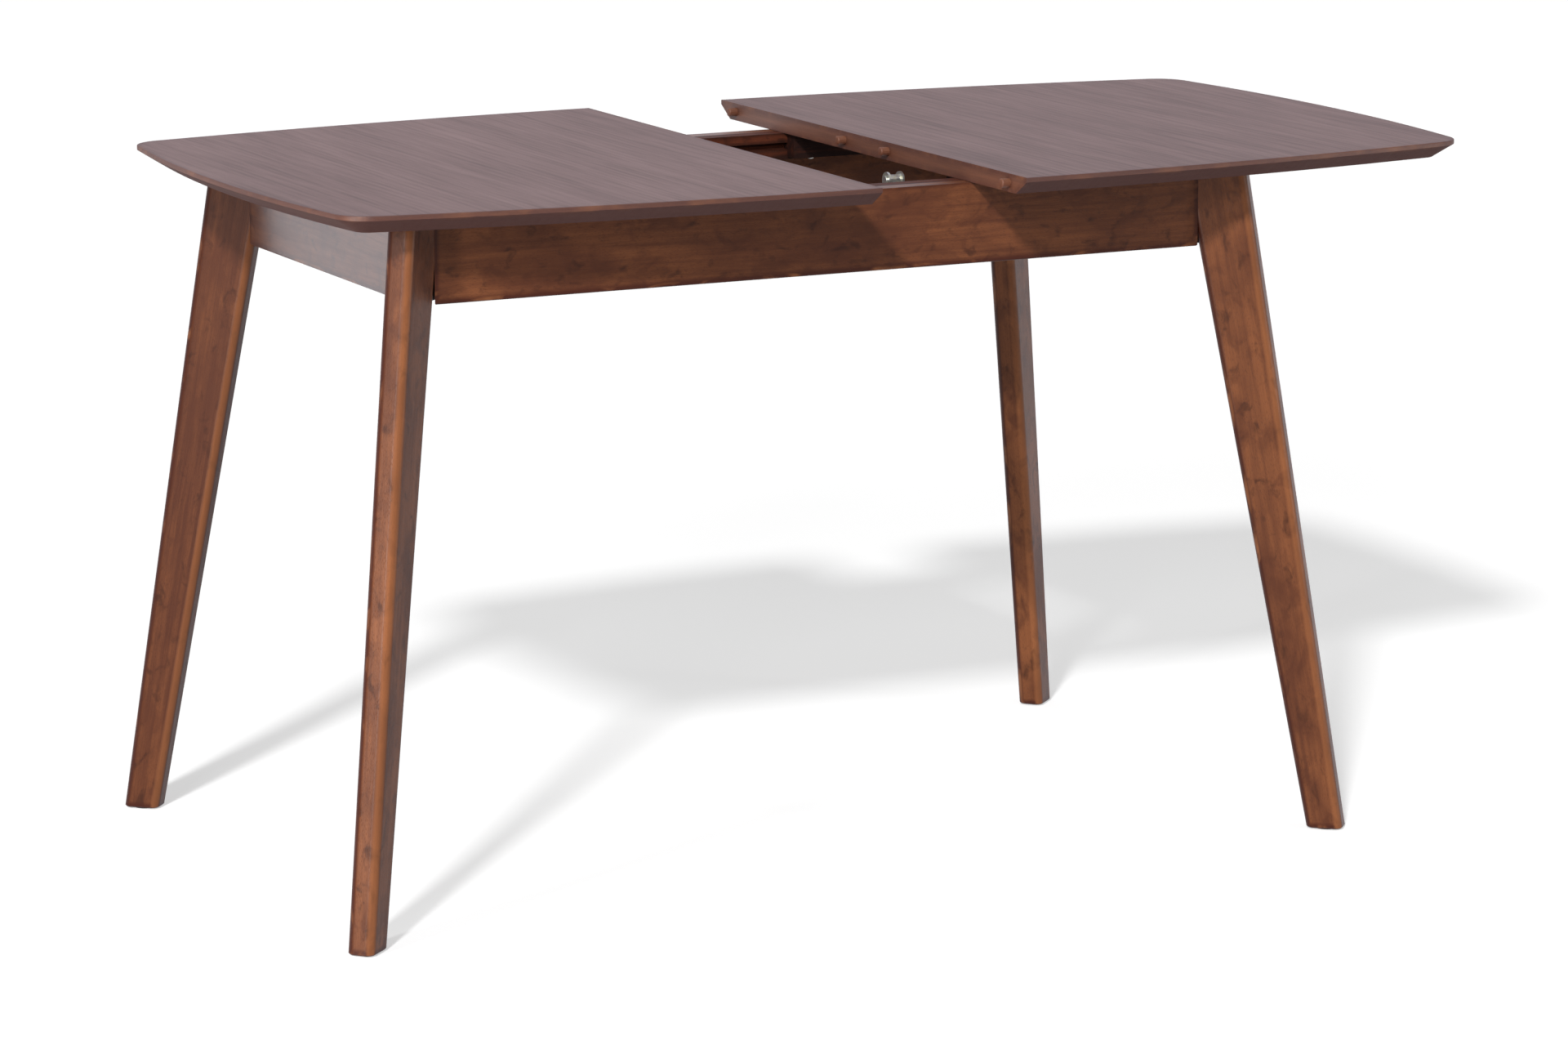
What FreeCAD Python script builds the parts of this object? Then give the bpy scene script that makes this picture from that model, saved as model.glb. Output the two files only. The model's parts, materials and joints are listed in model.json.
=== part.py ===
import FreeCAD, Part
import math
import os
import Sketcher

# Extending dining table: a boat-shaped top in two halves that slide apart over a low frame on four
# splayed legs, with a folded leaf stored inside the frame. Lengths are in millimetres. X runs along the
# table to the right, Y to the back and Z up. The origin is on the floor, under the middle of the table
# as it stands here, with the left half of the top at home and the right half pulled out.

# Driving sizes: alias, value, meaning
SIZES = (
    ("table_height", 760, "floor to the upper face of the top"),
    ("top_width", 750, "width of the top where the halves meet"),
    ("end_overhang", 125, "short apron to the middle of the top's curved end"),
    ("top_thickness", 20, "thickness of the top"),
    ("side_radius", 3190, "radius of the bowed long side"),
    ("end_radius", 2120, "radius of the bowed end"),
    ("corner_radius", 40, "radius of the top's corners in plan"),
    ("edge_band", 5, "height of the upright edge above the bevel"),
    ("bevel_inset", 24, "how far the bevel reaches in under the top"),
    ("top_edge_round", 1.2, "rounding of the top's upper edge"),
    ("seam_gap", 0.4, "seam between the closed halves"),
    ("spare_travel", 20, "travel of each half of the top beyond half the leaf's length"),
    ("sliding_gap", 0.4, "gap under the sliding halves"),
    ("apron_thickness", 20, "thickness of the aprons"),
    ("apron_edge_round", 2, "rounding of the aprons' lower outer edge"),
    ("splay_length", 100, "how far a foot stands out along the table"),
    ("splay_depth", 90, "how far a foot stands out across the table"),
    ("leg_thickness", 30, "thickness of the leg plank"),
    ("leg_top_width", 68, "width of the leg plank at its top"),
    ("leg_foot_width", 41, "width of the leg plank at its foot"),
    ("leg_edge_radius", 9, "rounding of the leg's long edges"),
    ("foot_chamfer", 1.5, "chamfer around the foot"),
    ("glide_radius", 11, "radius of the foot glide"),
    ("glide_thickness", 1.5, "thickness of the foot glide"),
    ("glide_nail_radius", 1.3, "radius of the glide's nail"),
    ("glide_nail_length", 18, "length of the glide's nail"),
    ("block_reach", 75, "leg axis to the inner face of a corner block"),
    ("block_clearance", 6, "corner block to the slide rail above it"),
    ("block_tongue_inset", 0.5, "tongue of the block inside the leg's flat edge"),
    ("bolt_radius", 4, "radius of a leg bolt"),
    ("bolt_spacing", 24, "height between the two bolts of a leg"),
    ("bolt_clearance", 0.3, "clearance around a bolt in its block"),
    ("bolt_end", 4, "thread that stands out of the nut"),
    ("washer_radius", 9, "radius of a washer"),
    ("washer_thickness", 1.6, "thickness of a washer"),
    ("nut_width", 13, "width of a nut across its flats"),
    ("nut_height", 6.5, "height of a nut"),
    ("glue_gap", 0.05, "clearance around a pressed or glued pin"),
    ("rail_thickness", 20, "thickness of a slide rail"),
    ("rail_height", 30, "height of a slide rail"),
    ("groove_depth", 8, "depth of the slide rail's groove"),
    ("groove_height", 8, "height of the slide rail's groove"),
    ("tongue_clearance", 0.3, "clearance around the runner's tongue"),
    ("runner_thickness", 18, "thickness of a runner"),
    ("runner_height", 28, "height of a runner"),
    ("runner_inset", 5, "meeting edge to the near end of a runner"),
    ("stop_gap", 0.5, "gap at the end apron when a half is right out"),
    ("batten_width", 40, "width of a batten"),
    ("batten_thickness", 18, "thickness of a batten"),
    ("batten_inset", 5, "outer end of a runner to the batten"),
    ("batten_clearance", 53.3, "cross rail to the batten when the table is closed"),
    ("screw_radius", 2, "radius of a wood screw"),
    ("screw_head_radius", 4, "radius of a wood screw's head"),
    ("screw_head_height", 2.4, "height of a wood screw's head"),
    ("screw_grip", 14, "how deep a wood screw goes into the far piece"),
    ("screw_margin", 25, "end of a piece to its first screw"),
    ("screw_sink", 3, "how deep the heads of the rail screws are sunk"),
    ("cross_rail_thickness", 20, "thickness of a cross rail"),
    ("cross_rail_height", 40, "height of a cross rail"),
    ("cross_rail_lift", 2, "underside of the aprons to the underside of a cross rail"),
    ("tenon_length", 10, "length of a cross rail's tenon"),
    ("tenon_height", 26, "height of a cross rail's tenon"),
    ("leaf_length", 300, "length that the leaf adds to the table"),
    ("leaf_fold_gap", 0.5, "gap between the folded panels of the leaf"),
    ("leaf_side_gap", 16, "stored leaf to the cross rails beside it"),
    ("leaf_room", 31.2, "stored leaf to the top of the aprons"),
    ("fold_clearance", 8.75, "hinge links of the stored leaf to the slide rail"),
    ("rest_rail_width", 40, "width of the rest rail"),
    ("rest_rail_thickness", 14, "thickness of the rest rail"),
    ("rest_rail_distance", 130, "middle of the frame to the middle of the rest rail"),
    ("rest_gap", 0.3, "gap between the rest rail and the stored leaf"),
    ("plate_thickness", 2.5, "thickness of the pivot plates"),
    ("plate_radius", 9, "half width and end radius of the pivot plates"),
    ("plate_inset", 1.5, "lower edge of the carrier to the foot of a pivot plate"),
    ("plate_margin", 5, "foot of a pivot plate to its first screw"),
    ("plate_screw_spacing", 9, "spacing of a pivot plate's screws"),
    ("plate_screw_radius", 1.6, "radius of a plate screw"),
    ("plate_screw_length", 14, "length of a plate screw behind its plate"),
    ("plate_screw_head_radius", 3.2, "radius of a plate screw's head"),
    ("plate_screw_head_height", 1.2, "height of a plate screw's head"),
    ("pivot_pin_radius", 3, "radius of the pivot pins"),
    ("pivot_pin_clearance", 0.05, "running clearance of the pivot pins"),
    ("pin_head_radius", 5, "radius of the pivot pin's head"),
    ("pin_head_thickness", 2, "thickness of the pivot pin's head"),
    ("pin_collar_radius", 6, "radius of the pivot pin's collar"),
    ("side_play", 0.3, "play beside the pivot arms"),
    ("hinge_distance", 100, "spacing of the leaf's hinges"),
    ("hinge_barrel_radius", 6.5, "radius of a hinge barrel"),
    ("hinge_barrel_length", 20, "length of a hinge barrel"),
    ("hinge_link_radius", 2.5, "radius of a hinge link"),
    ("dowel_radius", 5, "radius of the alignment dowels"),
    ("dowel_depth", 25, "how deep a dowel is glued in"),
    ("dowel_reach", 10, "how far a dowel stands out"),
    ("dowel_tip", 1.5, "chamfer at the tip of a dowel"),
    ("dowel_clearance", 0.3, "clearance around a dowel in its socket"),
    ("inner_dowel", 53, "middle of the top to the inner dowels"),
    ("outer_dowel_inset", 40, "side of the top to the outer dowels"),
)

doc = FreeCAD.newDocument("ExtendingTable")
sheet = doc.addObject("Spreadsheet::Sheet", "Sizes")
for row, (alias, number, meaning) in enumerate(SIZES, start=1):
    sheet.set(f"A{row}", meaning)
    sheet.set(f"B{row}", str(number))
    sheet.setAlias(f"B{row}", alias)
doc.recompute()

# Levels above the floor: the stored leaf and what it lies on set the height of the aprons
UNDERSIDE = "(Sizes.table_height - Sizes.top_thickness)"
APRON_TOP = f"({UNDERSIDE} - Sizes.sliding_gap)"
PIVOT_PANEL_TOP = f"({APRON_TOP} - Sizes.leaf_room)"
PIVOT_PANEL_BOTTOM = f"({PIVOT_PANEL_TOP} - Sizes.top_thickness)"
FOLD_PANEL_BOTTOM = f"({PIVOT_PANEL_BOTTOM} - Sizes.leaf_fold_gap - Sizes.top_thickness)"
REST_RAIL_TOP = f"({FOLD_PANEL_BOTTOM} - Sizes.rest_gap)"
CROSS_RAIL_BOTTOM = f"({REST_RAIL_TOP} - Sizes.rest_rail_thickness)"
APRON_BOTTOM = f"({CROSS_RAIL_BOTTOM} - Sizes.cross_rail_lift)"
RAIL_BOTTOM = f"({APRON_TOP} - Sizes.rail_height)"
GROOVE_MIDDLE = f"({APRON_TOP} - Sizes.rail_height / 2)"
BLOCK_TOP = f"({RAIL_BOTTOM} - Sizes.block_clearance)"

# Along the frame, from its middle: the leaf, the cross rails beside it, the batten of a closed half,
# and the travel of that half, which ends with the runner's end at the short apron
SLIDE_TRAVEL = "(Sizes.leaf_length / 2 + Sizes.spare_travel)"
FRAME_MIDDLE = f"(-{SLIDE_TRAVEL} / 2)"
LEAF_EDGE = "(Sizes.leaf_length / 2)"
CROSS_RAIL_INNER = f"({LEAF_EDGE} + Sizes.leaf_side_gap)"
CROSS_RAIL_OUTER = f"({CROSS_RAIL_INNER} + Sizes.cross_rail_thickness)"
RUNNER_END = f"({CROSS_RAIL_OUTER} + Sizes.batten_clearance + Sizes.batten_width + Sizes.batten_inset)"
RUNNER_LENGTH = f"({RUNNER_END} - Sizes.runner_inset)"
SHORT_INNER = f"({RUNNER_END} + Sizes.seam_gap / 2 + {SLIDE_TRAVEL} + Sizes.stop_gap)"
FRAME_HALF_LENGTH = f"({SHORT_INNER} + Sizes.apron_thickness)"
HALF_LENGTH = f"({FRAME_HALF_LENGTH} + Sizes.end_overhang)"

# Across the frame, from its middle: the folded leaf with its hinge links, the rails and the aprons
HALF_WIDTH = "(Sizes.top_width / 2)"
PIVOT_DEPTH = f"(-{HALF_WIDTH} / 4)"
FOLD_EDGE = f"(-{HALF_WIDTH} / 2)"
LINK_REACH = "((Sizes.top_thickness + Sizes.leaf_fold_gap) / 2 + Sizes.hinge_link_radius)"
RAIL_FACE = f"({HALF_WIDTH} / 2 + {LINK_REACH} + Sizes.fold_clearance)"
RUNNER_FACE = f"({RAIL_FACE} - Sizes.tongue_clearance)"
LONG_INNER = f"({RAIL_FACE} + Sizes.rail_thickness)"
FRAME_HALF_DEPTH = f"({LONG_INNER} + Sizes.apron_thickness)"

# The leaf swings half a turn about its pivot, from its store to the level of the top
PIVOT_HEIGHT = f"(({UNDERSIDE} + {PIVOT_PANEL_TOP}) / 2)"

# The legs stand along a line that is turned in plan by the splay
SPLAY = "sqrt(Sizes.splay_length^2 + Sizes.splay_depth^2)"
ALONG = f"(Sizes.splay_length / {SPLAY})"
ACROSS = f"(Sizes.splay_depth / {SPLAY})"

DOWEL_DISTANCES = ("Sizes.inner_dowel", f"({HALF_WIDTH} - Sizes.outer_dowel_inset)")
TOP_DOWEL_PLACES = [f"({sign} * {distance})" for distance in DOWEL_DISTANCES for sign in (-1, 1)]
HINGE_PLACES = ("(-Sizes.hinge_distance)", "0", "Sizes.hinge_distance")

# Ends of the aprons, which lie against the faces of the legs
LONG_OUTER_END = f"({FRAME_HALF_LENGTH} - Sizes.leg_thickness / (2 * {ACROSS}))"
LONG_INNER_END = f"({LONG_OUTER_END} - Sizes.apron_thickness * {ALONG} / {ACROSS})"
SHORT_OUTER_END = f"({FRAME_HALF_DEPTH} - Sizes.leg_thickness / (2 * {ALONG}))"
SHORT_INNER_END = f"({SHORT_OUTER_END} - Sizes.apron_thickness * {ACROSS} / {ALONG})"

# A leg's bolts end on the leg's axis at the upper bolt, and their nuts lie on the block
BLOCK_MIDDLE = f"(({CROSS_RAIL_BOTTOM} + {BLOCK_TOP}) / 2)"
BOLT_LEVELS = [f"({BLOCK_MIDDLE} {sign} Sizes.bolt_spacing / 2)" for sign in "-+"]
BOLT_TIP = f"(-{SPLAY} * {BOLT_LEVELS[1]} / {APRON_TOP})"
BLOCK_FACE = f"({SPLAY} + Sizes.block_reach + {BOLT_TIP})"
BOLT_LENGTH = f"({BLOCK_FACE} + Sizes.washer_thickness + Sizes.nut_height + Sizes.bolt_end)"

# Pivot plates
BRACKET_FACE = f"({CROSS_RAIL_INNER} - Sizes.plate_thickness)"
BRACKET_FOOT = f"({CROSS_RAIL_BOTTOM} + Sizes.plate_inset)"
ARM_FOOT = f"({PIVOT_PANEL_BOTTOM} + Sizes.plate_inset)"

RAIL_SCREW_LEVEL = f"({RAIL_BOTTOM} + (Sizes.rail_height - Sizes.groove_height) / 4)"
REST_SCREW_LEVEL = f"({REST_RAIL_TOP} - Sizes.rest_rail_thickness / 2)"

SIDES = (("left", -1), ("right", 1))
DEPTHS = (("front", -1), ("back", 1))
CORNERS = tuple((f"{d}_{s}", sx, sy) for d, sy in DEPTHS for s, sx in SIDES)
Z_AXIS = FreeCAD.Vector(0, 0, 1)
X_AXIS = FreeCAD.Vector(1, 0, 0)
Y_AXIS = FreeCAD.Vector(0, 1, 0)
QUARTER_TURN = 90
HALF_TURN = 180

CLOSE = 1e-6
RAIL_SCREW_SHARES = (-0.75, -0.25, 0.25, 0.75)
RAIL_SCREW_PLACES = [(f"({share} * {SHORT_INNER})", RAIL_SCREW_LEVEL) for share in RAIL_SCREW_SHARES]
REST_SCREW_PLACES = [
    (f"(Sizes.rest_rail_distance {sign} Sizes.rest_rail_width / 4)", REST_SCREW_LEVEL) for sign in "-+"
]


def plate_screw_places(foot):
    """Places of a pivot plate's screws above its foot: across and above the floor."""
    first = f"({foot} + Sizes.plate_margin)"
    return [(PIVOT_DEPTH, first), (PIVOT_DEPTH, f"({first} + Sizes.plate_screw_spacing)")]


BRACKET_SCREW_PLACES = plate_screw_places(BRACKET_FOOT)

nodes = []


def value(expression):
    """The number that an expression of the sheet's sizes gives."""
    return float(sheet.evalExpression(str(expression)))


def node(item, name):
    """Name a finished sub-part and keep it for writing."""
    item.Label = name
    nodes.append(item)
    return item


def place(item, x="0", y="0", z="0", turn=None):
    """Put an item at a point of the frame, turned as given."""
    item.Placement = FreeCAD.Placement(FreeCAD.Vector(), turn or FreeCAD.Rotation())
    item.setExpression("Placement.Base.x", f"{FRAME_MIDDLE} + {x}")
    item.setExpression("Placement.Base.y", y)
    item.setExpression("Placement.Base.z", z)
    return item


def new_body(name, x="0", y="0", z="0", turn=None):
    """A body whose own origin lies at a point of the frame."""
    return place(doc.addObject("PartDesign::Body", name), x, y, z, turn)


def new_sketch(body, role, offset=None, shift=None):
    """A sketch on one of the body's own origin planes."""
    plane = next(f for f in body.Origin.OriginFeatures if f.Role == role)
    sketch = body.newObject("Sketcher::SketchObject", f"{body.Name}Sketch")
    sketch.AttachmentSupport = [(plane, "")]
    sketch.MapMode = "FlatFace"
    if offset:
        sketch.setExpression("AttachmentOffset.Base.z", offset)
    if shift:
        sketch.setExpression("AttachmentOffset.Base.x", shift)
    return sketch


def bind(sketch, expression, kind, *where):
    """Add a dimension to a sketch and tie it to an expression."""
    number = sketch.addConstraint(Sketcher.Constraint(kind, *where, value(expression)))
    sketch.setExpression(f"Constraints[{number}]", expression)


def polygon(sketch, points):
    """Closed outline through points that are pairs of expressions."""
    corners = [FreeCAD.Vector(value(x), value(y), 0) for x, y in points]
    count = len(corners)
    for index, corner in enumerate(corners):
        sketch.addGeometry(Part.LineSegment(corner, corners[(index + 1) % count]), False)
    for index, (x, y) in enumerate(points):
        sketch.addConstraint(Sketcher.Constraint("Coincident", index, 2, (index + 1) % count, 1))
        bind(sketch, x, "DistanceX", -1, 1, index, 1)
        bind(sketch, y, "DistanceY", -1, 1, index, 1)


def circles(sketch, points, radius):
    """Circles of one radius about points that are pairs of expressions."""
    for x, y in points:
        centre = FreeCAD.Vector(value(x), value(y), 0)
        number = sketch.addGeometry(Part.Circle(centre, Z_AXIS, value(radius)), False)
        bind(sketch, radius, "Radius", number)
        bind(sketch, x, "DistanceX", -1, 1, number, 3)
        bind(sketch, y, "DistanceY", -1, 1, number, 3)


def rounded_rectangle(sketch, width, depth, radius):
    """Rectangle about the sketch's origin with four equal corner arcs."""
    half_x = value(width) / 2
    half_y = value(depth) / 2
    arc = value(radius)
    inner_x = half_x - arc
    inner_y = half_y - arc
    sides = (
        ((-inner_x, -half_y), (inner_x, -half_y)),
        ((half_x, -inner_y), (half_x, inner_y)),
        ((inner_x, half_y), (-inner_x, half_y)),
        ((-half_x, inner_y), (-half_x, -inner_y)),
    )
    for start, end in sides:
        sketch.addGeometry(Part.LineSegment(FreeCAD.Vector(*start, 0), FreeCAD.Vector(*end, 0)), False)
    centres = ((inner_x, -inner_y), (inner_x, inner_y), (-inner_x, inner_y), (-inner_x, -inner_y))
    for index, centre in enumerate(centres):
        circle = Part.Circle(FreeCAD.Vector(*centre, 0), Z_AXIS, arc)
        begin = (index - 1) * math.pi / 2
        sketch.addGeometry(Part.ArcOfCircle(circle, begin, begin + math.pi / 2), False)
    count = len(sides)
    for index in range(count):
        corner = count + index
        sketch.addConstraint(Sketcher.Constraint("Tangent", index, 2, corner, 1))
        sketch.addConstraint(Sketcher.Constraint("Tangent", corner, 2, (index + 1) % count, 1))
        kind = "Vertical" if index % 2 else "Horizontal"
        sketch.addConstraint(Sketcher.Constraint(kind, index))
    for corner in range(count + 1, 2 * count):
        sketch.addConstraint(Sketcher.Constraint("Equal", count, corner))
    bind(sketch, radius, "Radius", count)
    bind(sketch, f"{width} / 2", "DistanceX", -1, 1, 1, 1)
    bind(sketch, f"-{width} / 2", "DistanceX", -1, 1, 3, 1)
    bind(sketch, f"{depth} / 2", "DistanceY", -1, 1, 2, 1)
    bind(sketch, f"-{depth} / 2", "DistanceY", -1, 1, 0, 1)


def pad(body, sketch, length, symmetric=False, against_normal=False):
    """Raise a sketch along its plane's normal, against it, or to both sides."""
    feature = body.newObject("PartDesign::Pad", f"{body.Name}Pad")
    feature.Profile = sketch
    feature.SideType = "Symmetric" if symmetric else "One side"
    feature.Reversed = against_normal
    feature.setExpression("Length", length)
    doc.recompute()
    return feature


def pocket(body, sketch, depth, along_normal):
    """Cut a sketch into the body, along its plane's normal or against it."""
    before = body.Shape.Volume
    feature = body.newObject("PartDesign::Pocket", f"{body.Name}Pocket")
    feature.Profile = sketch
    feature.Reversed = along_normal
    feature.setExpression("Length", depth)
    doc.recompute()
    if not 0 < body.Shape.Volume < before:
        raise RuntimeError(f"{feature.Name} does not cut as meant")
    return feature


def bore(body, role, points, radius, depth, along_normal, offset=None):
    """Blind round holes from a plane into the body."""
    sketch = new_sketch(body, role, offset)
    circles(sketch, points, radius)
    return pocket(body, sketch, depth, along_normal)


def edges_where(feature, test):
    """Names of the feature's edges that pass a test."""
    return [f"Edge{i}" for i, edge in enumerate(feature.Shape.Edges, start=1) if test(edge)]


def at_level(edge, level):
    """Whether an edge lies wholly at a height."""
    return max(abs(vertex.Z - level) for vertex in edge.Vertexes) < CLOSE


def dress(body, kind, base, edges, **sizes):
    """A fillet or chamfer on named edges of the body's last feature."""
    feature = body.newObject(f"PartDesign::{kind}", f"{body.Name}{kind}")
    feature.Base = (base, edges)
    for key, expression in sizes.items():
        feature.setExpression(key, expression)
    return feature


def cylinder(name, radius, length, placement):
    """A round rod that starts at a placement and runs along its Z axis."""
    rod = doc.addObject("Part::Cylinder", name)
    rod.setExpression("Radius", radius)
    rod.setExpression("Height", length)
    rod.Placement = placement
    return rod


def joined(name, shapes):
    """One solid out of shapes that overlap or touch."""
    item = doc.addObject("Part::MultiFuse", name)
    item.Shapes = shapes
    return item


def group(name, shapes):
    """One node out of separate like solids."""
    item = doc.addObject("Part::Compound", name)
    item.Links = shapes
    return node(item, name)


def frame_point(x, y, z, turn=None):
    """Placement at a point that is given from the middle of the frame on the floor."""
    base = FreeCAD.Vector(value(f"{FRAME_MIDDLE} + {x}"), value(y), value(z))
    return FreeCAD.Placement(base, turn or FreeCAD.Rotation())


def corner_placement(side, depth):
    """Placement of a leg: its own X axis points outwards along the splay, from under its foot."""
    angle = math.degrees(math.atan2(depth * value("Sizes.splay_depth"), side * value("Sizes.splay_length")))
    foot_x = f"{side} * ({FRAME_HALF_LENGTH} + Sizes.splay_length)"
    foot_y = f"{depth} * ({FRAME_HALF_DEPTH} + Sizes.splay_depth)"
    return frame_point(foot_x, foot_y, "0", FreeCAD.Rotation(Z_AXIS, angle))


def top_outline(sketch):
    """Outline of one half: a straight meeting edge, two bowed sides, a bowed end and two corner arcs."""
    half_width = value(HALF_WIDTH)
    side = value("Sizes.side_radius")
    end = value("Sizes.end_radius")
    corner = value("Sizes.corner_radius")
    side_y = half_width - side
    end_x = value(HALF_LENGTH) - end
    # The corner arc's centre lies a corner radius inside the side arc and inside the end arc
    gap = math.hypot(end_x, side_y)
    near = side - corner
    far = end - corner
    share = (near**2 - far**2 + gap**2) / (2 * gap)
    height = math.sqrt(near**2 - share**2)
    corner_x = (share * end_x - height * side_y) / gap
    corner_y = side_y - (share * side_y + height * end_x) / gap
    lean = math.atan2(corner_y - side_y, corner_x)
    swing = math.atan2(corner_y, corner_x - end_x)

    def arc(x, y, radius, begin, finish):
        circle = Part.Circle(FreeCAD.Vector(x, y, 0), Z_AXIS, radius)
        return sketch.addGeometry(Part.ArcOfCircle(circle, begin, finish), False)

    right_angle = math.pi / 2
    edge = sketch.addGeometry(
        Part.LineSegment(FreeCAD.Vector(0, half_width, 0), FreeCAD.Vector(0, -half_width, 0)), False
    )
    front_side = arc(0, -side_y, side, -right_angle, -lean)
    front_corner = arc(corner_x, -corner_y, corner, -lean, -swing)
    curved_end = arc(end_x, 0, end, -swing, swing)
    back_corner = arc(corner_x, corner_y, corner, swing, lean)
    back_side = arc(0, side_y, side, lean, right_angle)
    sketch.addConstraint(Sketcher.Constraint("Coincident", edge, 2, front_side, 1))
    chain = (front_side, front_corner, curved_end, back_corner, back_side)
    for before, after in zip(chain, chain[1:]):
        sketch.addConstraint(Sketcher.Constraint("Tangent", before, 2, after, 1))
    sketch.addConstraint(Sketcher.Constraint("Coincident", back_side, 2, edge, 1))
    sketch.addConstraint(Sketcher.Constraint("PointOnObject", edge, 1, -2))
    sketch.addConstraint(Sketcher.Constraint("PointOnObject", edge, 2, -2))
    sketch.addConstraint(Sketcher.Constraint("PointOnObject", curved_end, 3, -1))
    sketch.addConstraint(Sketcher.Constraint("PointOnObject", front_side, 3, -2))
    sketch.addConstraint(Sketcher.Constraint("PointOnObject", back_side, 3, -2))
    bind(sketch, "Sizes.side_radius", "Radius", front_side)
    bind(sketch, "Sizes.side_radius", "Radius", back_side)
    bind(sketch, "Sizes.corner_radius", "Radius", front_corner)
    bind(sketch, "Sizes.corner_radius", "Radius", back_corner)
    bind(sketch, "Sizes.end_radius", "Radius", curved_end)
    bind(sketch, f"{HALF_LENGTH} - Sizes.end_radius", "DistanceX", -1, 1, curved_end, 3)
    bind(sketch, f"{HALF_WIDTH} - Sizes.side_radius", "DistanceY", -1, 1, back_side, 3)
    bind(sketch, f"Sizes.side_radius - {HALF_WIDTH}", "DistanceY", -1, 1, front_side, 3)


def bevel(body, base, edges):
    """The bevel under an edge, which leaves the upright edge band."""
    before = body.Shape.Volume
    feature = dress(body, "Chamfer", base, edges)
    feature.ChamferType = "Two distances"
    feature.setExpression("Size", "Sizes.top_thickness - Sizes.edge_band")
    feature.setExpression("Size2", "Sizes.bevel_inset")
    doc.recompute()
    if not 0 < body.Shape.Volume < before:
        raise RuntimeError(f"{feature.Name} does not cut as meant")
    return feature


def runner_screw_places():
    """Places of a half's runner screws, from the middle of its meeting edge: along and across."""
    near = "(Sizes.runner_inset + Sizes.screw_margin)"
    far = f"({RUNNER_END} - Sizes.screw_margin)"
    middle = f"(({near} + {far}) / 2)"
    across = f"({RUNNER_FACE} - Sizes.runner_thickness / 2)"
    return [(x, f"({sign} * {across})") for x in (near, middle, far) for sign in (-1, 1)]


def batten_places():
    """Middle of a half's batten, and places of its screws, from the middle of the meeting edge."""
    along = f"({RUNNER_END} - Sizes.batten_inset - Sizes.batten_width / 2)"
    reach = f"({RUNNER_FACE} - Sizes.runner_thickness)"
    across = f"({reach} - Sizes.screw_margin)"
    return along, reach, [(along, f"({sign} * {across})") for sign in (-1, 0, 1)]


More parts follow.
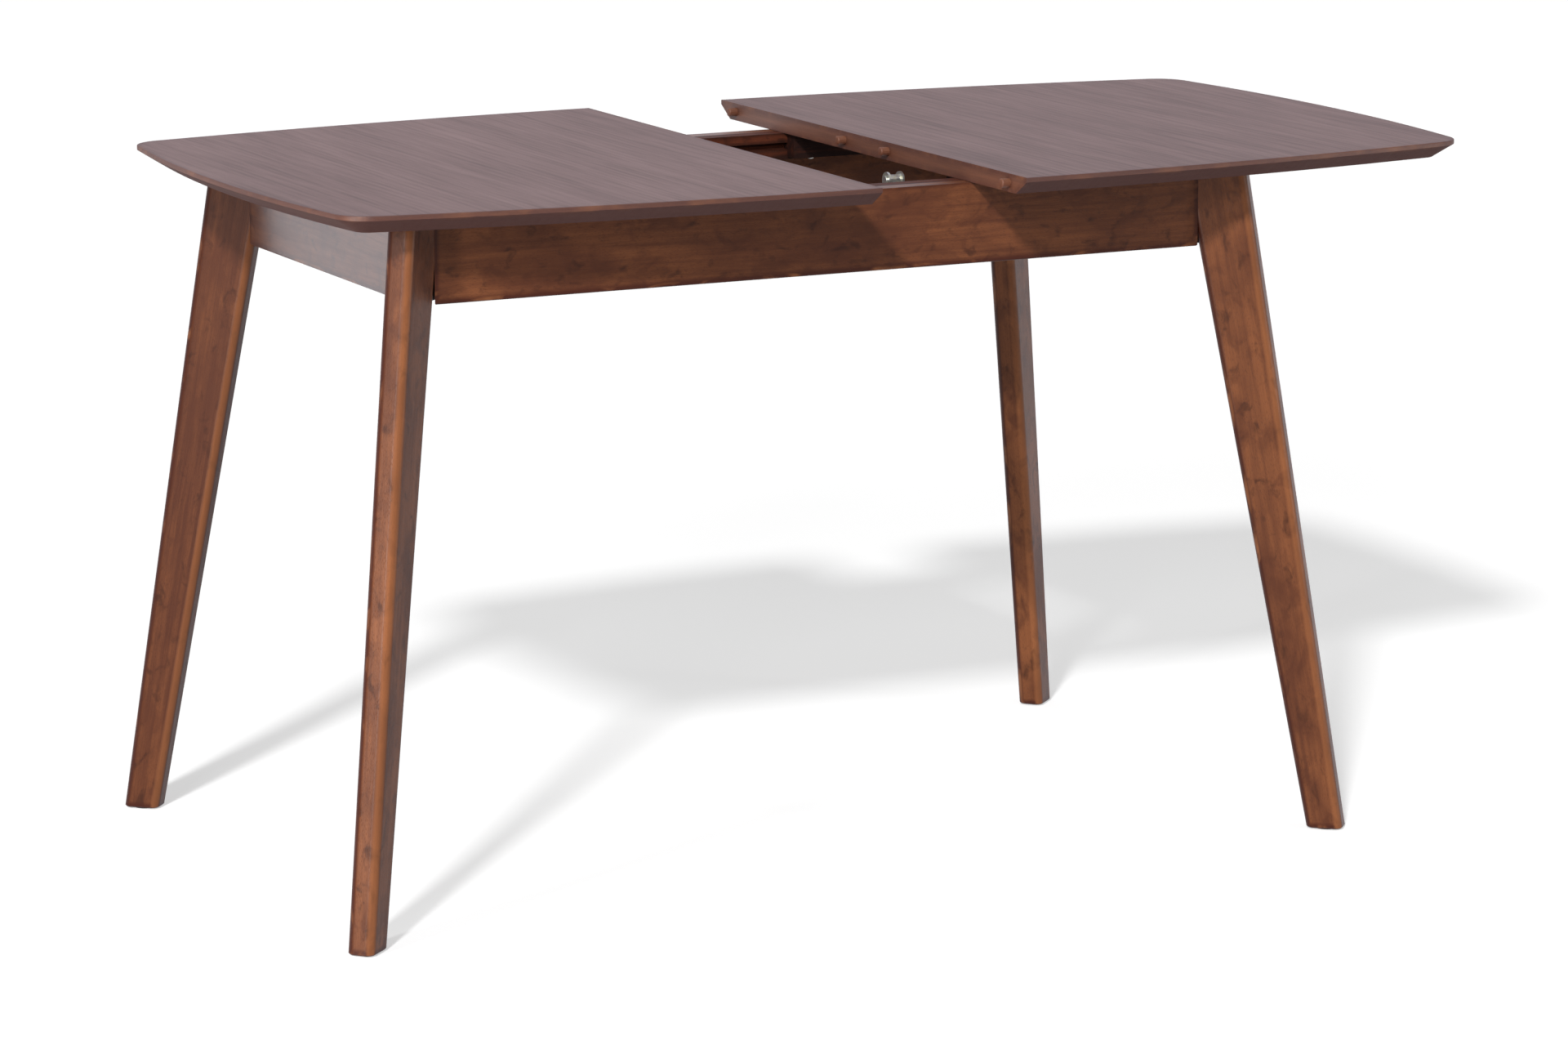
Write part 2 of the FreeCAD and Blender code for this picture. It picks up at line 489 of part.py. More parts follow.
def make_half_top(side_name, side, rest_travel):
    """One half of the top with its runners, batten and screws, as it stands at its rest travel."""
    turn = FreeCAD.Rotation(Z_AXIS, 0 if side > 0 else HALF_TURN)
    edge_x = f"({side} * (Sizes.seam_gap / 2 + {rest_travel}))"
    panel = new_body(f"{side_name}_panel_body", edge_x, "0", UNDERSIDE, turn)
    sketch = new_sketch(panel, "XY_Plane")
    top_outline(sketch)
    plate = pad(panel, sketch, "Sizes.top_thickness")
    lower = edges_where(
        plate, lambda e: at_level(e, 0) and isinstance(e.Curve, Part.Circle)
    )
    under = bevel(panel, plate, lower)
    thickness = value("Sizes.top_thickness")
    upper = edges_where(under, lambda e: at_level(e, thickness) and isinstance(e.Curve, Part.Circle))
    dress(panel, "Fillet", under, upper, Radius="Sizes.top_edge_round")
    doc.recompute()
    # The right half carries the dowels, and the left half has the sockets that they enter
    middle = "(Sizes.top_thickness / 2)"
    places = [(y, middle) for y in TOP_DOWEL_PLACES]
    if side > 0:
        bore(panel, "YZ_Plane", places, "Sizes.dowel_radius + Sizes.glue_gap", "Sizes.dowel_depth", True)
    else:
        bore(
            panel, "YZ_Plane", places, "Sizes.dowel_radius + Sizes.dowel_clearance",
            "Sizes.dowel_reach + Sizes.dowel_tip", True,
        )
    along, reach, batten_screws = batten_places()
    screws = runner_screw_places()
    grip = "Sizes.screw_radius + Sizes.glue_gap"
    bore(panel, "XY_Plane", screws + batten_screws, grip, "Sizes.screw_grip", True)
    node(panel, f"{side_name}_top_panel")

    for depth_name, depth in DEPTHS:
        # Seen along the slide, the back runner of the right half is the front runner of the left half
        across = depth * side
        runner = new_body(f"{side_name}_{depth_name}_runner_body", edge_x, "0", UNDERSIDE, turn)
        profile = new_sketch(runner, "YZ_Plane", "Sizes.runner_inset")
        outer = f"({across} * {RUNNER_FACE})"
        inner = f"({across} * ({RUNNER_FACE} - Sizes.runner_thickness))"
        tip = f"({across} * ({RAIL_FACE} + Sizes.groove_depth - Sizes.tongue_clearance))"
        middle_z = f"({GROOVE_MIDDLE} - {UNDERSIDE})"
        half_tongue = "(Sizes.groove_height / 2 - Sizes.tongue_clearance)"
        polygon(profile, [
            (inner, "0"), (inner, "-Sizes.runner_height"),
            (outer, "-Sizes.runner_height"), (outer, f"{middle_z} - {half_tongue}"),
            (tip, f"{middle_z} - {half_tongue}"), (tip, f"{middle_z} + {half_tongue}"),
            (outer, f"{middle_z} + {half_tongue}"), (outer, "0"),
        ])
        pad(runner, profile, RUNNER_LENGTH)
        own = [p for p in screws if value(p[1]) * across > 0]
        bore(runner, "XY_Plane", own, grip, "Sizes.runner_height", False)
        node(runner, f"{side_name}_{depth_name}_runner")

    batten = new_body(f"{side_name}_batten_body", edge_x, "0", UNDERSIDE, turn)
    profile = new_sketch(batten, "XZ_Plane")
    polygon(profile, [
        (f"{along} - Sizes.batten_width / 2", "0"), (f"{along} + Sizes.batten_width / 2", "0"),
        (f"{along} + Sizes.batten_width / 2", "-Sizes.batten_thickness"),
        (f"{along} - Sizes.batten_width / 2", "-Sizes.batten_thickness"),
    ])
    pad(batten, profile, f"2 * {reach}", symmetric=True)
    bore(batten, "XY_Plane", batten_screws, grip, "Sizes.batten_thickness", False)
    node(batten, f"{side_name}_top_batten")

    for kind, places, thickness in (
        ("runner", screws, "Sizes.runner_height"), ("batten", batten_screws, "Sizes.batten_thickness"),
    ):
        made = []
        for x, y in places:
            height = f"({UNDERSIDE} - {thickness})"
            point = frame_point(f"{edge_x} + {side} * {x}", f"{side} * {y}", height)
            made.append(wood_screw(f"{side_name}_{kind}_screw", point, thickness))
        group(f"{side_name}_{kind}_screws", made)


def wood_screw(name, placement, through):
    """A round-headed screw whose head bears where its placement lies, along its Z axis."""
    under_head = placement.multiply(
        FreeCAD.Placement(FreeCAD.Vector(0, 0, -value("Sizes.screw_head_height")), FreeCAD.Rotation())
    )
    shank_length = f"{through} + Sizes.screw_grip - Sizes.glue_gap"
    shank = cylinder(f"{name}_shank", "Sizes.screw_radius", shank_length, placement)
    head = cylinder(f"{name}_head", "Sizes.screw_head_radius", "Sizes.screw_head_height", under_head)
    return joined(name, [head, shank])


def make_dowels(name, edge_x, places, direction):
    """Glued dowels that stand out of an edge, at pairs of a depth and a height."""
    turn = FreeCAD.Rotation(Y_AXIS, direction * QUARTER_TURN)
    made = []
    for y, z in places:
        inner_end = f"{edge_x} - {direction} * (Sizes.dowel_depth - Sizes.glue_gap)"
        straight = "Sizes.dowel_depth - Sizes.glue_gap + Sizes.dowel_reach - Sizes.dowel_tip"
        rod = cylinder(f"{name}_rod", "Sizes.dowel_radius", straight, frame_point(inner_end, y, z, turn))
        tip = doc.addObject("Part::Cone", f"{name}_tip")
        tip.setExpression("Radius1", "Sizes.dowel_radius")
        tip.setExpression("Radius2", "Sizes.dowel_radius - Sizes.dowel_tip")
        tip.setExpression("Height", "Sizes.dowel_tip")
        tip_x = f"{edge_x} + {direction} * (Sizes.dowel_reach - Sizes.dowel_tip)"
        tip.Placement = frame_point(tip_x, y, z, turn)
        made.append(joined(f"{name}_dowel", [rod, tip]))
    return group(name, made)


def make_long_apron(depth_name, depth):
    """A long apron, cut at its ends to lie against the faces of the legs."""
    body = new_body(f"{depth_name}_apron_body")
    sketch = new_sketch(body, "XY_Plane", APRON_BOTTOM)
    outer = f"({depth} * {FRAME_HALF_DEPTH})"
    inner = f"({depth} * {LONG_INNER})"
    polygon(sketch, [
        (f"-{LONG_OUTER_END}", outer), (LONG_OUTER_END, outer),
        (LONG_INNER_END, inner), (f"-{LONG_INNER_END}", inner),
    ])
    board = pad(body, sketch, f"{APRON_TOP} - {APRON_BOTTOM}")
    low = value(APRON_BOTTOM)
    outer_y = value(outer)
    lower = edges_where(
        board, lambda e: at_level(e, low) and all(abs(v.Y - outer_y) < CLOSE for v in e.Vertexes)
    )
    dress(body, "Fillet", board, lower, Radius="Sizes.apron_edge_round")
    doc.recompute()
    # Mortises for the tenons of the cross rails
    face = f"(-{depth} * {LONG_INNER})"
    middle_x = f"(({CROSS_RAIL_INNER} + {CROSS_RAIL_OUTER}) / 2)"
    middle_z = f"({CROSS_RAIL_BOTTOM} + Sizes.cross_rail_height / 2)"
    half_x = "(Sizes.cross_rail_thickness / 2 + Sizes.glue_gap)"
    half_z = "(Sizes.tenon_height / 2 + Sizes.glue_gap)"
    for _, side in SIDES:
        mortise = new_sketch(body, "XZ_Plane", face)
        polygon(mortise, [
            (f"{side} * {middle_x} - {half_x}", f"{middle_z} - {half_z}"),
            (f"{side} * {middle_x} + {half_x}", f"{middle_z} - {half_z}"),
            (f"{side} * {middle_x} + {half_x}", f"{middle_z} + {half_z}"),
            (f"{side} * {middle_x} - {half_x}", f"{middle_z} + {half_z}"),
        ])
        pocket(body, mortise, "Sizes.tenon_length + Sizes.glue_gap", depth < 0)
    bore(
        body, "XZ_Plane", RAIL_SCREW_PLACES, "Sizes.screw_radius + Sizes.glue_gap",
        "Sizes.screw_grip", depth < 0, face,
    )
    return node(body, f"{depth_name}_apron")


def make_short_apron(side_name, side):
    """A short apron, cut at its ends to lie against the faces of the legs."""
    body = new_body(f"{side_name}_apron_body")
    sketch = new_sketch(body, "XY_Plane", APRON_BOTTOM)
    outer = f"({side} * {FRAME_HALF_LENGTH})"
    inner = f"({side} * {SHORT_INNER})"
    polygon(sketch, [
        (outer, f"-{SHORT_OUTER_END}"), (outer, SHORT_OUTER_END),
        (inner, SHORT_INNER_END), (inner, f"-{SHORT_INNER_END}"),
    ])
    board = pad(body, sketch, f"{APRON_TOP} - {APRON_BOTTOM}")
    low = value(APRON_BOTTOM)
    outer_x = value(outer)
    lower = edges_where(
        board, lambda e: at_level(e, low) and all(abs(v.X - outer_x) < CLOSE for v in e.Vertexes)
    )
    dress(body, "Fillet", board, lower, Radius="Sizes.apron_edge_round")
    doc.recompute()
    return node(body, f"{side_name}_apron")


def make_leg(corner_name, side, depth):
    """A tapered plank leg with rounded edges, drilled for its two bolts and its glide's nail."""
    placement = corner_placement(side, depth)
    body = doc.addObject("PartDesign::Body", f"{corner_name}_leg_body")
    body.Placement = placement
    foot_width = "Sizes.leg_foot_width"
    top_width = "Sizes.leg_top_width"
    thick = "Sizes.leg_thickness"
    radius = "Sizes.leg_edge_radius"
    cut_back = "Sizes.foot_chamfer"
    sole = new_sketch(body, "XY_Plane", "Sizes.glide_thickness")
    rounded_rectangle(
        sole, f"({foot_width} - 2 * {cut_back})", f"({thick} - 2 * {cut_back})", f"({radius} - {cut_back})"
    )
    foot = new_sketch(body, "XY_Plane", f"Sizes.glide_thickness + {cut_back}")
    rounded_rectangle(foot, foot_width, thick, radius)
    head = new_sketch(body, "XY_Plane", APRON_TOP, f"-{SPLAY}")
    rounded_rectangle(head, top_width, thick, radius)
    doc.recompute()
    plank = body.newObject("PartDesign::AdditiveLoft", f"{corner_name}_plank")
    plank.Profile = sole
    plank.Sections = [foot, head]
    plank.Ruled = True
    doc.recompute()
    bore(
        body, "XY_Plane", [("0", "0")], "Sizes.glide_nail_radius + Sizes.glue_gap",
        "Sizes.glide_thickness + Sizes.glide_nail_length", True,
    )
    bore(
        body, "YZ_Plane", [("0", z) for z in BOLT_LEVELS], "Sizes.bolt_radius + Sizes.glue_gap",
        "Sizes.leg_top_width", False, BOLT_TIP,
    )
    return node(body, f"{corner_name}_leg")


def make_corner_block(corner_name, side, depth, leg):
    """A block glued behind a leg. Its tongue reaches between the aprons to the leg's inner edge."""
    name = f"{corner_name}_corner_block"
    body = new_body(f"{name}_body")
    sketch = new_sketch(body, "XY_Plane", CROSS_RAIL_BOTTOM)

    def point(along, across):
        """A point given along and across the leg's line from the corner of the aprons."""
        x = f"{side} * ({FRAME_HALF_LENGTH} + {along} * {ALONG} - {across} * {ACROSS})"
        y = f"{depth} * ({FRAME_HALF_DEPTH} + {along} * {ACROSS} + {across} * {ALONG})"
        return x, y

    # Where the ends of the aprons' inner faces lie along the leg's line
    slot = "(Sizes.leg_thickness / 2)"
    long_end = f"((-Sizes.apron_thickness - {slot} * {ALONG}) / {ACROSS})"
    short_end = f"((-Sizes.apron_thickness - {slot} * {ACROSS}) / {ALONG})"
    long_foot = f"((Sizes.block_reach - Sizes.apron_thickness * {ACROSS}) / {ALONG})"
    short_foot = f"((Sizes.block_reach - Sizes.apron_thickness * {ALONG}) / {ACROSS})"
    tongue = f"({slot} - Sizes.leg_edge_radius - Sizes.block_tongue_inset)"
    polygon(sketch, [
        (f"{side} * ({FRAME_HALF_LENGTH} - {long_foot})", f"{depth} * {LONG_INNER}"),
        point(long_end, slot),
        point(long_end, tongue),
        point("0", tongue),
        point("0", f"(-{tongue})"),
        point(long_end, f"(-{tongue})"),
        point(short_end, f"(-{slot})"),
        (f"{side} * {SHORT_INNER}", f"{depth} * ({FRAME_HALF_DEPTH} - {short_foot})"),
    ])
    pad(body, sketch, f"{BLOCK_TOP} - {CROSS_RAIL_BOTTOM}")
    seated = cut(f"{name}_seated", body, leg)
    holes = [
        cylinder(
            f"{name}_hole", "Sizes.bolt_radius + Sizes.bolt_clearance", BOLT_LENGTH,
            bolt_placement(side, depth, level),
        )
        for level in BOLT_LEVELS
    ]
    drills = doc.addObject("Part::Compound", f"{name}_holes")
    drills.Links = holes
    return node(cut(name, seated, drills), name)


def cut(name, base, tool):
    """What is left of a base where a tool is taken away."""
    item = doc.addObject("Part::Cut", name)
    item.Base = base
    item.Tool = tool
    return item


def bolt_placement(side, depth, level, distance="0"):
    """Placement on a leg bolt's line, at a distance from its tip, pointing into the frame."""
    local = FreeCAD.Placement(
        FreeCAD.Vector(value(f"{BOLT_TIP} - {distance}"), 0, value(level)),
        FreeCAD.Rotation(Y_AXIS, -QUARTER_TURN),
    )
    return corner_placement(side, depth).multiply(local)


def ring(name, outer, radius, length, placement):
    """An outer shape with a round hole along its axis."""
    hole = cylinder(f"{name}_hole", radius, length, placement)
    return cut(name, outer, hole)


def make_leg_fasteners():
    """Two hanger bolts to a leg, each with a washer and a nut on the inner face of its block."""
    bolts = []
    washers = []
    nuts = []
    hole = "Sizes.bolt_radius + Sizes.glue_gap"
    for _, side, depth in CORNERS:
        for level in BOLT_LEVELS:
            bolts.append(
                cylinder("leg_bolt", "Sizes.bolt_radius", BOLT_LENGTH, bolt_placement(side, depth, level))
            )
            seat = bolt_placement(side, depth, level, BLOCK_FACE)
            disc = cylinder("washer_disc", "Sizes.washer_radius", "Sizes.washer_thickness", seat)
            washers.append(ring("leg_washer", disc, hole, "Sizes.washer_thickness", seat))
            on_washer = bolt_placement(side, depth, level, f"({BLOCK_FACE} + Sizes.washer_thickness)")
            prism = doc.addObject("Part::Prism", "nut_prism")
            prism.Polygon = 6
            prism.setExpression("Circumradius", "Sizes.nut_width / sqrt(3)")
            prism.setExpression("Height", "Sizes.nut_height")
            prism.Placement = on_washer
            nuts.append(ring("leg_nut", prism, hole, "Sizes.nut_height", on_washer))
    group("leg_bolts", bolts)
    group("leg_bolt_washers", washers)
    group("leg_bolt_nuts", nuts)


def make_foot_glides():
    """Nail-on glides under the feet."""
    glides = []
    for _, side, depth in CORNERS:
        under = corner_placement(side, depth)
        above = under.multiply(
            FreeCAD.Placement(FreeCAD.Vector(0, 0, value("Sizes.glide_thickness")), FreeCAD.Rotation())
        )
        disc = cylinder("glide_disc", "Sizes.glide_radius", "Sizes.glide_thickness", under)
        nail = cylinder("glide_nail", "Sizes.glide_nail_radius", "Sizes.glide_nail_length", above)
        glides.append(joined("glide", [disc, nail]))
    group("foot_glides", glides)


def make_slide_rail(depth_name, depth):
    """A rail inside a long apron, with a groove for the runners' tongues and sunk screw holes."""
    body = new_body(f"{depth_name}_slide_rail_body")
    profile = new_sketch(body, "YZ_Plane")
    outer = f"({depth} * {LONG_INNER})"
    inner = f"({depth} * {RAIL_FACE})"
    bottom = f"({depth} * ({RAIL_FACE} + Sizes.groove_depth))"
    low = f"({GROOVE_MIDDLE} - Sizes.groove_height / 2)"
    high = f"({GROOVE_MIDDLE} + Sizes.groove_height / 2)"
    polygon(profile, [
        (outer, RAIL_BOTTOM), (outer, APRON_TOP), (inner, APRON_TOP), (inner, high),
        (bottom, high), (bottom, low), (inner, low), (inner, RAIL_BOTTOM),
    ])
    pad(body, profile, f"2 * {LONG_INNER_END}", symmetric=True)
    face = f"(-{depth} * {RAIL_FACE})"
    outwards = depth < 0
    bore(
        body, "XZ_Plane", RAIL_SCREW_PLACES, "Sizes.screw_head_radius + Sizes.glue_gap",
        "Sizes.screw_sink", outwards, face,
    )
    bore(
        body, "XZ_Plane", RAIL_SCREW_PLACES, "Sizes.screw_radius + Sizes.glue_gap",
        "Sizes.rail_thickness", outwards, face,
    )
    node(body, f"{depth_name}_slide_rail")
    turn = FreeCAD.Rotation(X_AXIS, -depth * QUARTER_TURN)
    bearing = f"{depth} * ({RAIL_FACE} + Sizes.screw_sink)"
    screws = [
        wood_screw(
            f"{depth_name}_rail_screw", frame_point(x, bearing, z, turn),
            "Sizes.rail_thickness - Sizes.screw_sink",
        )
        for x, z in RAIL_SCREW_PLACES
    ]
    group(f"{depth_name}_slide_rail_screws", screws)


def make_cross_rail(side_name, side):
    """A rail between the long aprons, tenoned into them."""
    body = new_body(f"{side_name}_cross_rail_body")
    profile = new_sketch(body, "YZ_Plane", f"({side} * {CROSS_RAIL_INNER})")
    top = f"({CROSS_RAIL_BOTTOM} + Sizes.cross_rail_height)"
    middle = f"({CROSS_RAIL_BOTTOM} + Sizes.cross_rail_height / 2)"
    low = f"({middle} - Sizes.tenon_height / 2)"
    high = f"({middle} + Sizes.tenon_height / 2)"
    end = f"({LONG_INNER} + Sizes.tenon_length)"
    back = [
        (LONG_INNER, CROSS_RAIL_BOTTOM), (LONG_INNER, low), (end, low),
        (end, high), (LONG_INNER, high), (LONG_INNER, top),
    ]
    front = [(f"(-{y})", z) for y, z in reversed(back)]
    polygon(profile, back + front)
    pad(body, profile, "Sizes.cross_rail_thickness", against_normal=side < 0)
    face = f"({side} * {CROSS_RAIL_INNER})"
    outwards = side > 0
    bore(
        body, "YZ_Plane", BRACKET_SCREW_PLACES, "Sizes.plate_screw_radius + Sizes.glue_gap",
        "Sizes.plate_screw_length", outwards, face,
    )
    bore(
        body, "YZ_Plane", REST_SCREW_PLACES, "Sizes.screw_radius + Sizes.glue_gap",
        "Sizes.cross_rail_thickness", outwards, face,
    )
    return node(body, f"{side_name}_cross_rail")


def make_rest_rail():
    """The flat rail that the stored leaf lies on, screwed through the cross rails."""
    body = new_body("leaf_rest_rail_body")
    profile = new_sketch(body, "YZ_Plane")
    near = "(Sizes.rest_rail_distance - Sizes.rest_rail_width / 2)"
    far = "(Sizes.rest_rail_distance + Sizes.rest_rail_width / 2)"
    polygon(profile, [
        (near, CROSS_RAIL_BOTTOM), (far, CROSS_RAIL_BOTTOM), (far, REST_RAIL_TOP), (near, REST_RAIL_TOP),
    ])
    pad(body, profile, f"2 * {CROSS_RAIL_INNER}", symmetric=True)
    hole = "Sizes.screw_radius + Sizes.glue_gap"
    screws = []
    for side in (-1, 1):
        end = f"({side} * {CROSS_RAIL_INNER})"
        bore(body, "YZ_Plane", REST_SCREW_PLACES, hole, "Sizes.screw_grip", side < 0, end)
        head = f"{side} * {CROSS_RAIL_OUTER}"
        turn = FreeCAD.Rotation(Y_AXIS, -side * QUARTER_TURN)
        screws += [
            wood_screw("rest_rail_screw", frame_point(head, y, z, turn), "Sizes.cross_rail_thickness")
            for y, z in REST_SCREW_PLACES
        ]
    node(body, "leaf_rest_rail")
    group("leaf_rest_rail_screws", screws)


def pivot_plate(name, face, direction, foot, pin_hole):
    """A flat plate that stands up from its screws to the pivot, with sunk screw holes."""
    body = new_body(f"{name}_body")
    sketch = new_sketch(body, "YZ_Plane", face)
    centre_y = value(PIVOT_DEPTH)
    centre_z = value(PIVOT_HEIGHT)
    radius = value("Sizes.plate_radius")
    low = value(foot)
    corners = [
        FreeCAD.Vector(centre_y - radius, centre_z, 0), FreeCAD.Vector(centre_y - radius, low, 0),
        FreeCAD.Vector(centre_y + radius, low, 0), FreeCAD.Vector(centre_y + radius, centre_z, 0),
    ]
    for start, end in zip(corners, corners[1:]):
        sketch.addGeometry(Part.LineSegment(start, end), False)
    circle = Part.Circle(FreeCAD.Vector(centre_y, centre_z, 0), Z_AXIS, radius)
    arc = sketch.addGeometry(Part.ArcOfCircle(circle, 0, math.pi), False)
    sketch.addConstraint(Sketcher.Constraint("Coincident", 0, 2, 1, 1))
    sketch.addConstraint(Sketcher.Constraint("Coincident", 1, 2, 2, 1))
    sketch.addConstraint(Sketcher.Constraint("Tangent", 2, 2, arc, 1))
    sketch.addConstraint(Sketcher.Constraint("Tangent", arc, 2, 0, 1))
    sketch.addConstraint(Sketcher.Constraint("Horizontal", 1))
    sketch.addConstraint(Sketcher.Constraint("Vertical", 0))
    sketch.addConstraint(Sketcher.Constraint("Vertical", 2))
    bind(sketch, "Sizes.plate_radius", "Radius", arc)
    bind(sketch, PIVOT_DEPTH, "DistanceX", -1, 1, arc, 3)
    bind(sketch, PIVOT_HEIGHT, "DistanceY", -1, 1, arc, 3)
    bind(sketch, foot, "DistanceY", -1, 1, 1, 1)
    pad(body, sketch, "Sizes.plate_thickness", against_normal=direction < 0)
    along = direction > 0
    bore(body, "YZ_Plane", [(PIVOT_DEPTH, PIVOT_HEIGHT)], pin_hole, "Sizes.plate_thickness", along, face)
    screws = plate_screw_places(foot)
    bore(
        body, "YZ_Plane", screws, "Sizes.plate_screw_head_radius + Sizes.glue_gap",
        "Sizes.plate_screw_head_height", along, face,
    )
    bore(
        body, "YZ_Plane", screws, "Sizes.plate_screw_radius + Sizes.glue_gap",
        "Sizes.plate_thickness", along, face,
    )
    return node(body, name)


def plate_screws(name, plates):
    """Sunk screws of several pivot plates, given by their face, direction and foot."""
    made = []
    for face, direction, foot in plates:
        turn = FreeCAD.Rotation(Y_AXIS, direction * QUARTER_TURN)
        for y, z in plate_screw_places(foot):
            start = frame_point(face, y, z, turn)
            head = cylinder(
                f"{name}_head", "Sizes.plate_screw_head_radius", "Sizes.plate_screw_head_height", start
            )
            shank = cylinder(
                f"{name}_shank", "Sizes.plate_screw_radius",
                "Sizes.plate_thickness + Sizes.plate_screw_length - Sizes.glue_gap", start,
            )
            made.append(joined(f"{name}_screw", [head, shank]))
    group(name, made)


def make_leaf_pivot():
    """Arms on the leaf, brackets on the cross rails, and the pins that join them."""
    arms = []
    brackets = []
    for side_name, side in SIDES:
        arm_face = f"({side} * {LEAF_EDGE})"
        bracket_face = f"({side} * {BRACKET_FACE})"
        running = "Sizes.pivot_pin_radius + Sizes.pivot_pin_clearance"
        pivot_plate(f"{side_name}_pivot_arm", arm_face, -side, ARM_FOOT, running)
        pivot_plate(
            f"{side_name}_pivot_bracket", bracket_face, side, BRACKET_FOOT,
            "Sizes.pivot_pin_radius + Sizes.glue_gap",
        )
        arms.append((arm_face, -side, ARM_FOOT))
        brackets.append((bracket_face, side, BRACKET_FOOT))
        # The pin is riveted in the bracket: head, shaft through the arm, collar up to the bracket
        turn = FreeCAD.Rotation(Y_AXIS, side * QUARTER_TURN)
        head_start = f"({LEAF_EDGE} - Sizes.plate_thickness - Sizes.side_play - Sizes.pin_head_thickness)"
        collar_start = f"({LEAF_EDGE} + Sizes.side_play)"
        pieces = (
            ("head", "Sizes.pin_head_radius", head_start, "Sizes.pin_head_thickness"),
            ("shaft", "Sizes.pivot_pin_radius", head_start, f"{CROSS_RAIL_INNER} - {head_start}"),
            ("collar", "Sizes.pin_collar_radius", collar_start, f"{BRACKET_FACE} - {collar_start}"),
        )
        rods = [
            cylinder(
                f"{side_name}_pin_{piece}", radius, length,
                frame_point(f"{side} * {start}", PIVOT_DEPTH, PIVOT_HEIGHT, turn),
            )
            for piece, radius, start, length in pieces
        ]
        name = f"{side_name}_pivot_pin"
        node(joined(name, rods), name)
    plate_screws("pivot_arm_screws", arms)
    plate_screws("pivot_bracket_screws", brackets)


def make_leaf_panel(name, base, turn, towards):
    """One panel of the leaf as it lies open, then put in its store: towards is the side it opens to."""
    body = new_body(f"{name}_body", "0", FOLD_EDGE, base, turn)
    sketch = new_sketch(body, "XY_Plane")
    outer = f"({towards} * {HALF_WIDTH})"
    polygon(sketch, [
        (f"-{LEAF_EDGE}", "0"), (LEAF_EDGE, "0"), (LEAF_EDGE, outer), (f"-{LEAF_EDGE}", outer),
    ])
    board = pad(body, sketch, "Sizes.top_thickness")
    far = value(outer)

    def outer_edge(level):
        return lambda e: at_level(e, level) and all(abs(v.Y - far) < CLOSE for v in e.Vertexes)

    under = bevel(body, board, edges_where(board, outer_edge(0)))
    thickness = value("Sizes.top_thickness")
    upper = edges_where(under, outer_edge(thickness))
    dress(body, "Fillet", under, upper, Radius="Sizes.top_edge_round")
    doc.recompute()
    middle = "(Sizes.top_thickness / 2)"
    barrels = [(x, middle) for x in HINGE_PLACES]
    bore(
        body, "XZ_Plane", barrels, "Sizes.hinge_barrel_radius + Sizes.glue_gap",
        "Sizes.hinge_barrel_length", towards < 0,
    )
    dowels = [(f"({towards} * {distance})", middle) for distance in DOWEL_DISTANCES]
    bore(
        body, "YZ_Plane", dowels, "Sizes.dowel_radius + Sizes.glue_gap", "Sizes.dowel_depth",
        True, f"(-{LEAF_EDGE})",
    )
    bore(
        body, "YZ_Plane", dowels, "Sizes.dowel_radius + Sizes.dowel_clearance",
        "Sizes.dowel_reach + Sizes.dowel_tip", False, LEAF_EDGE,
    )
    return body


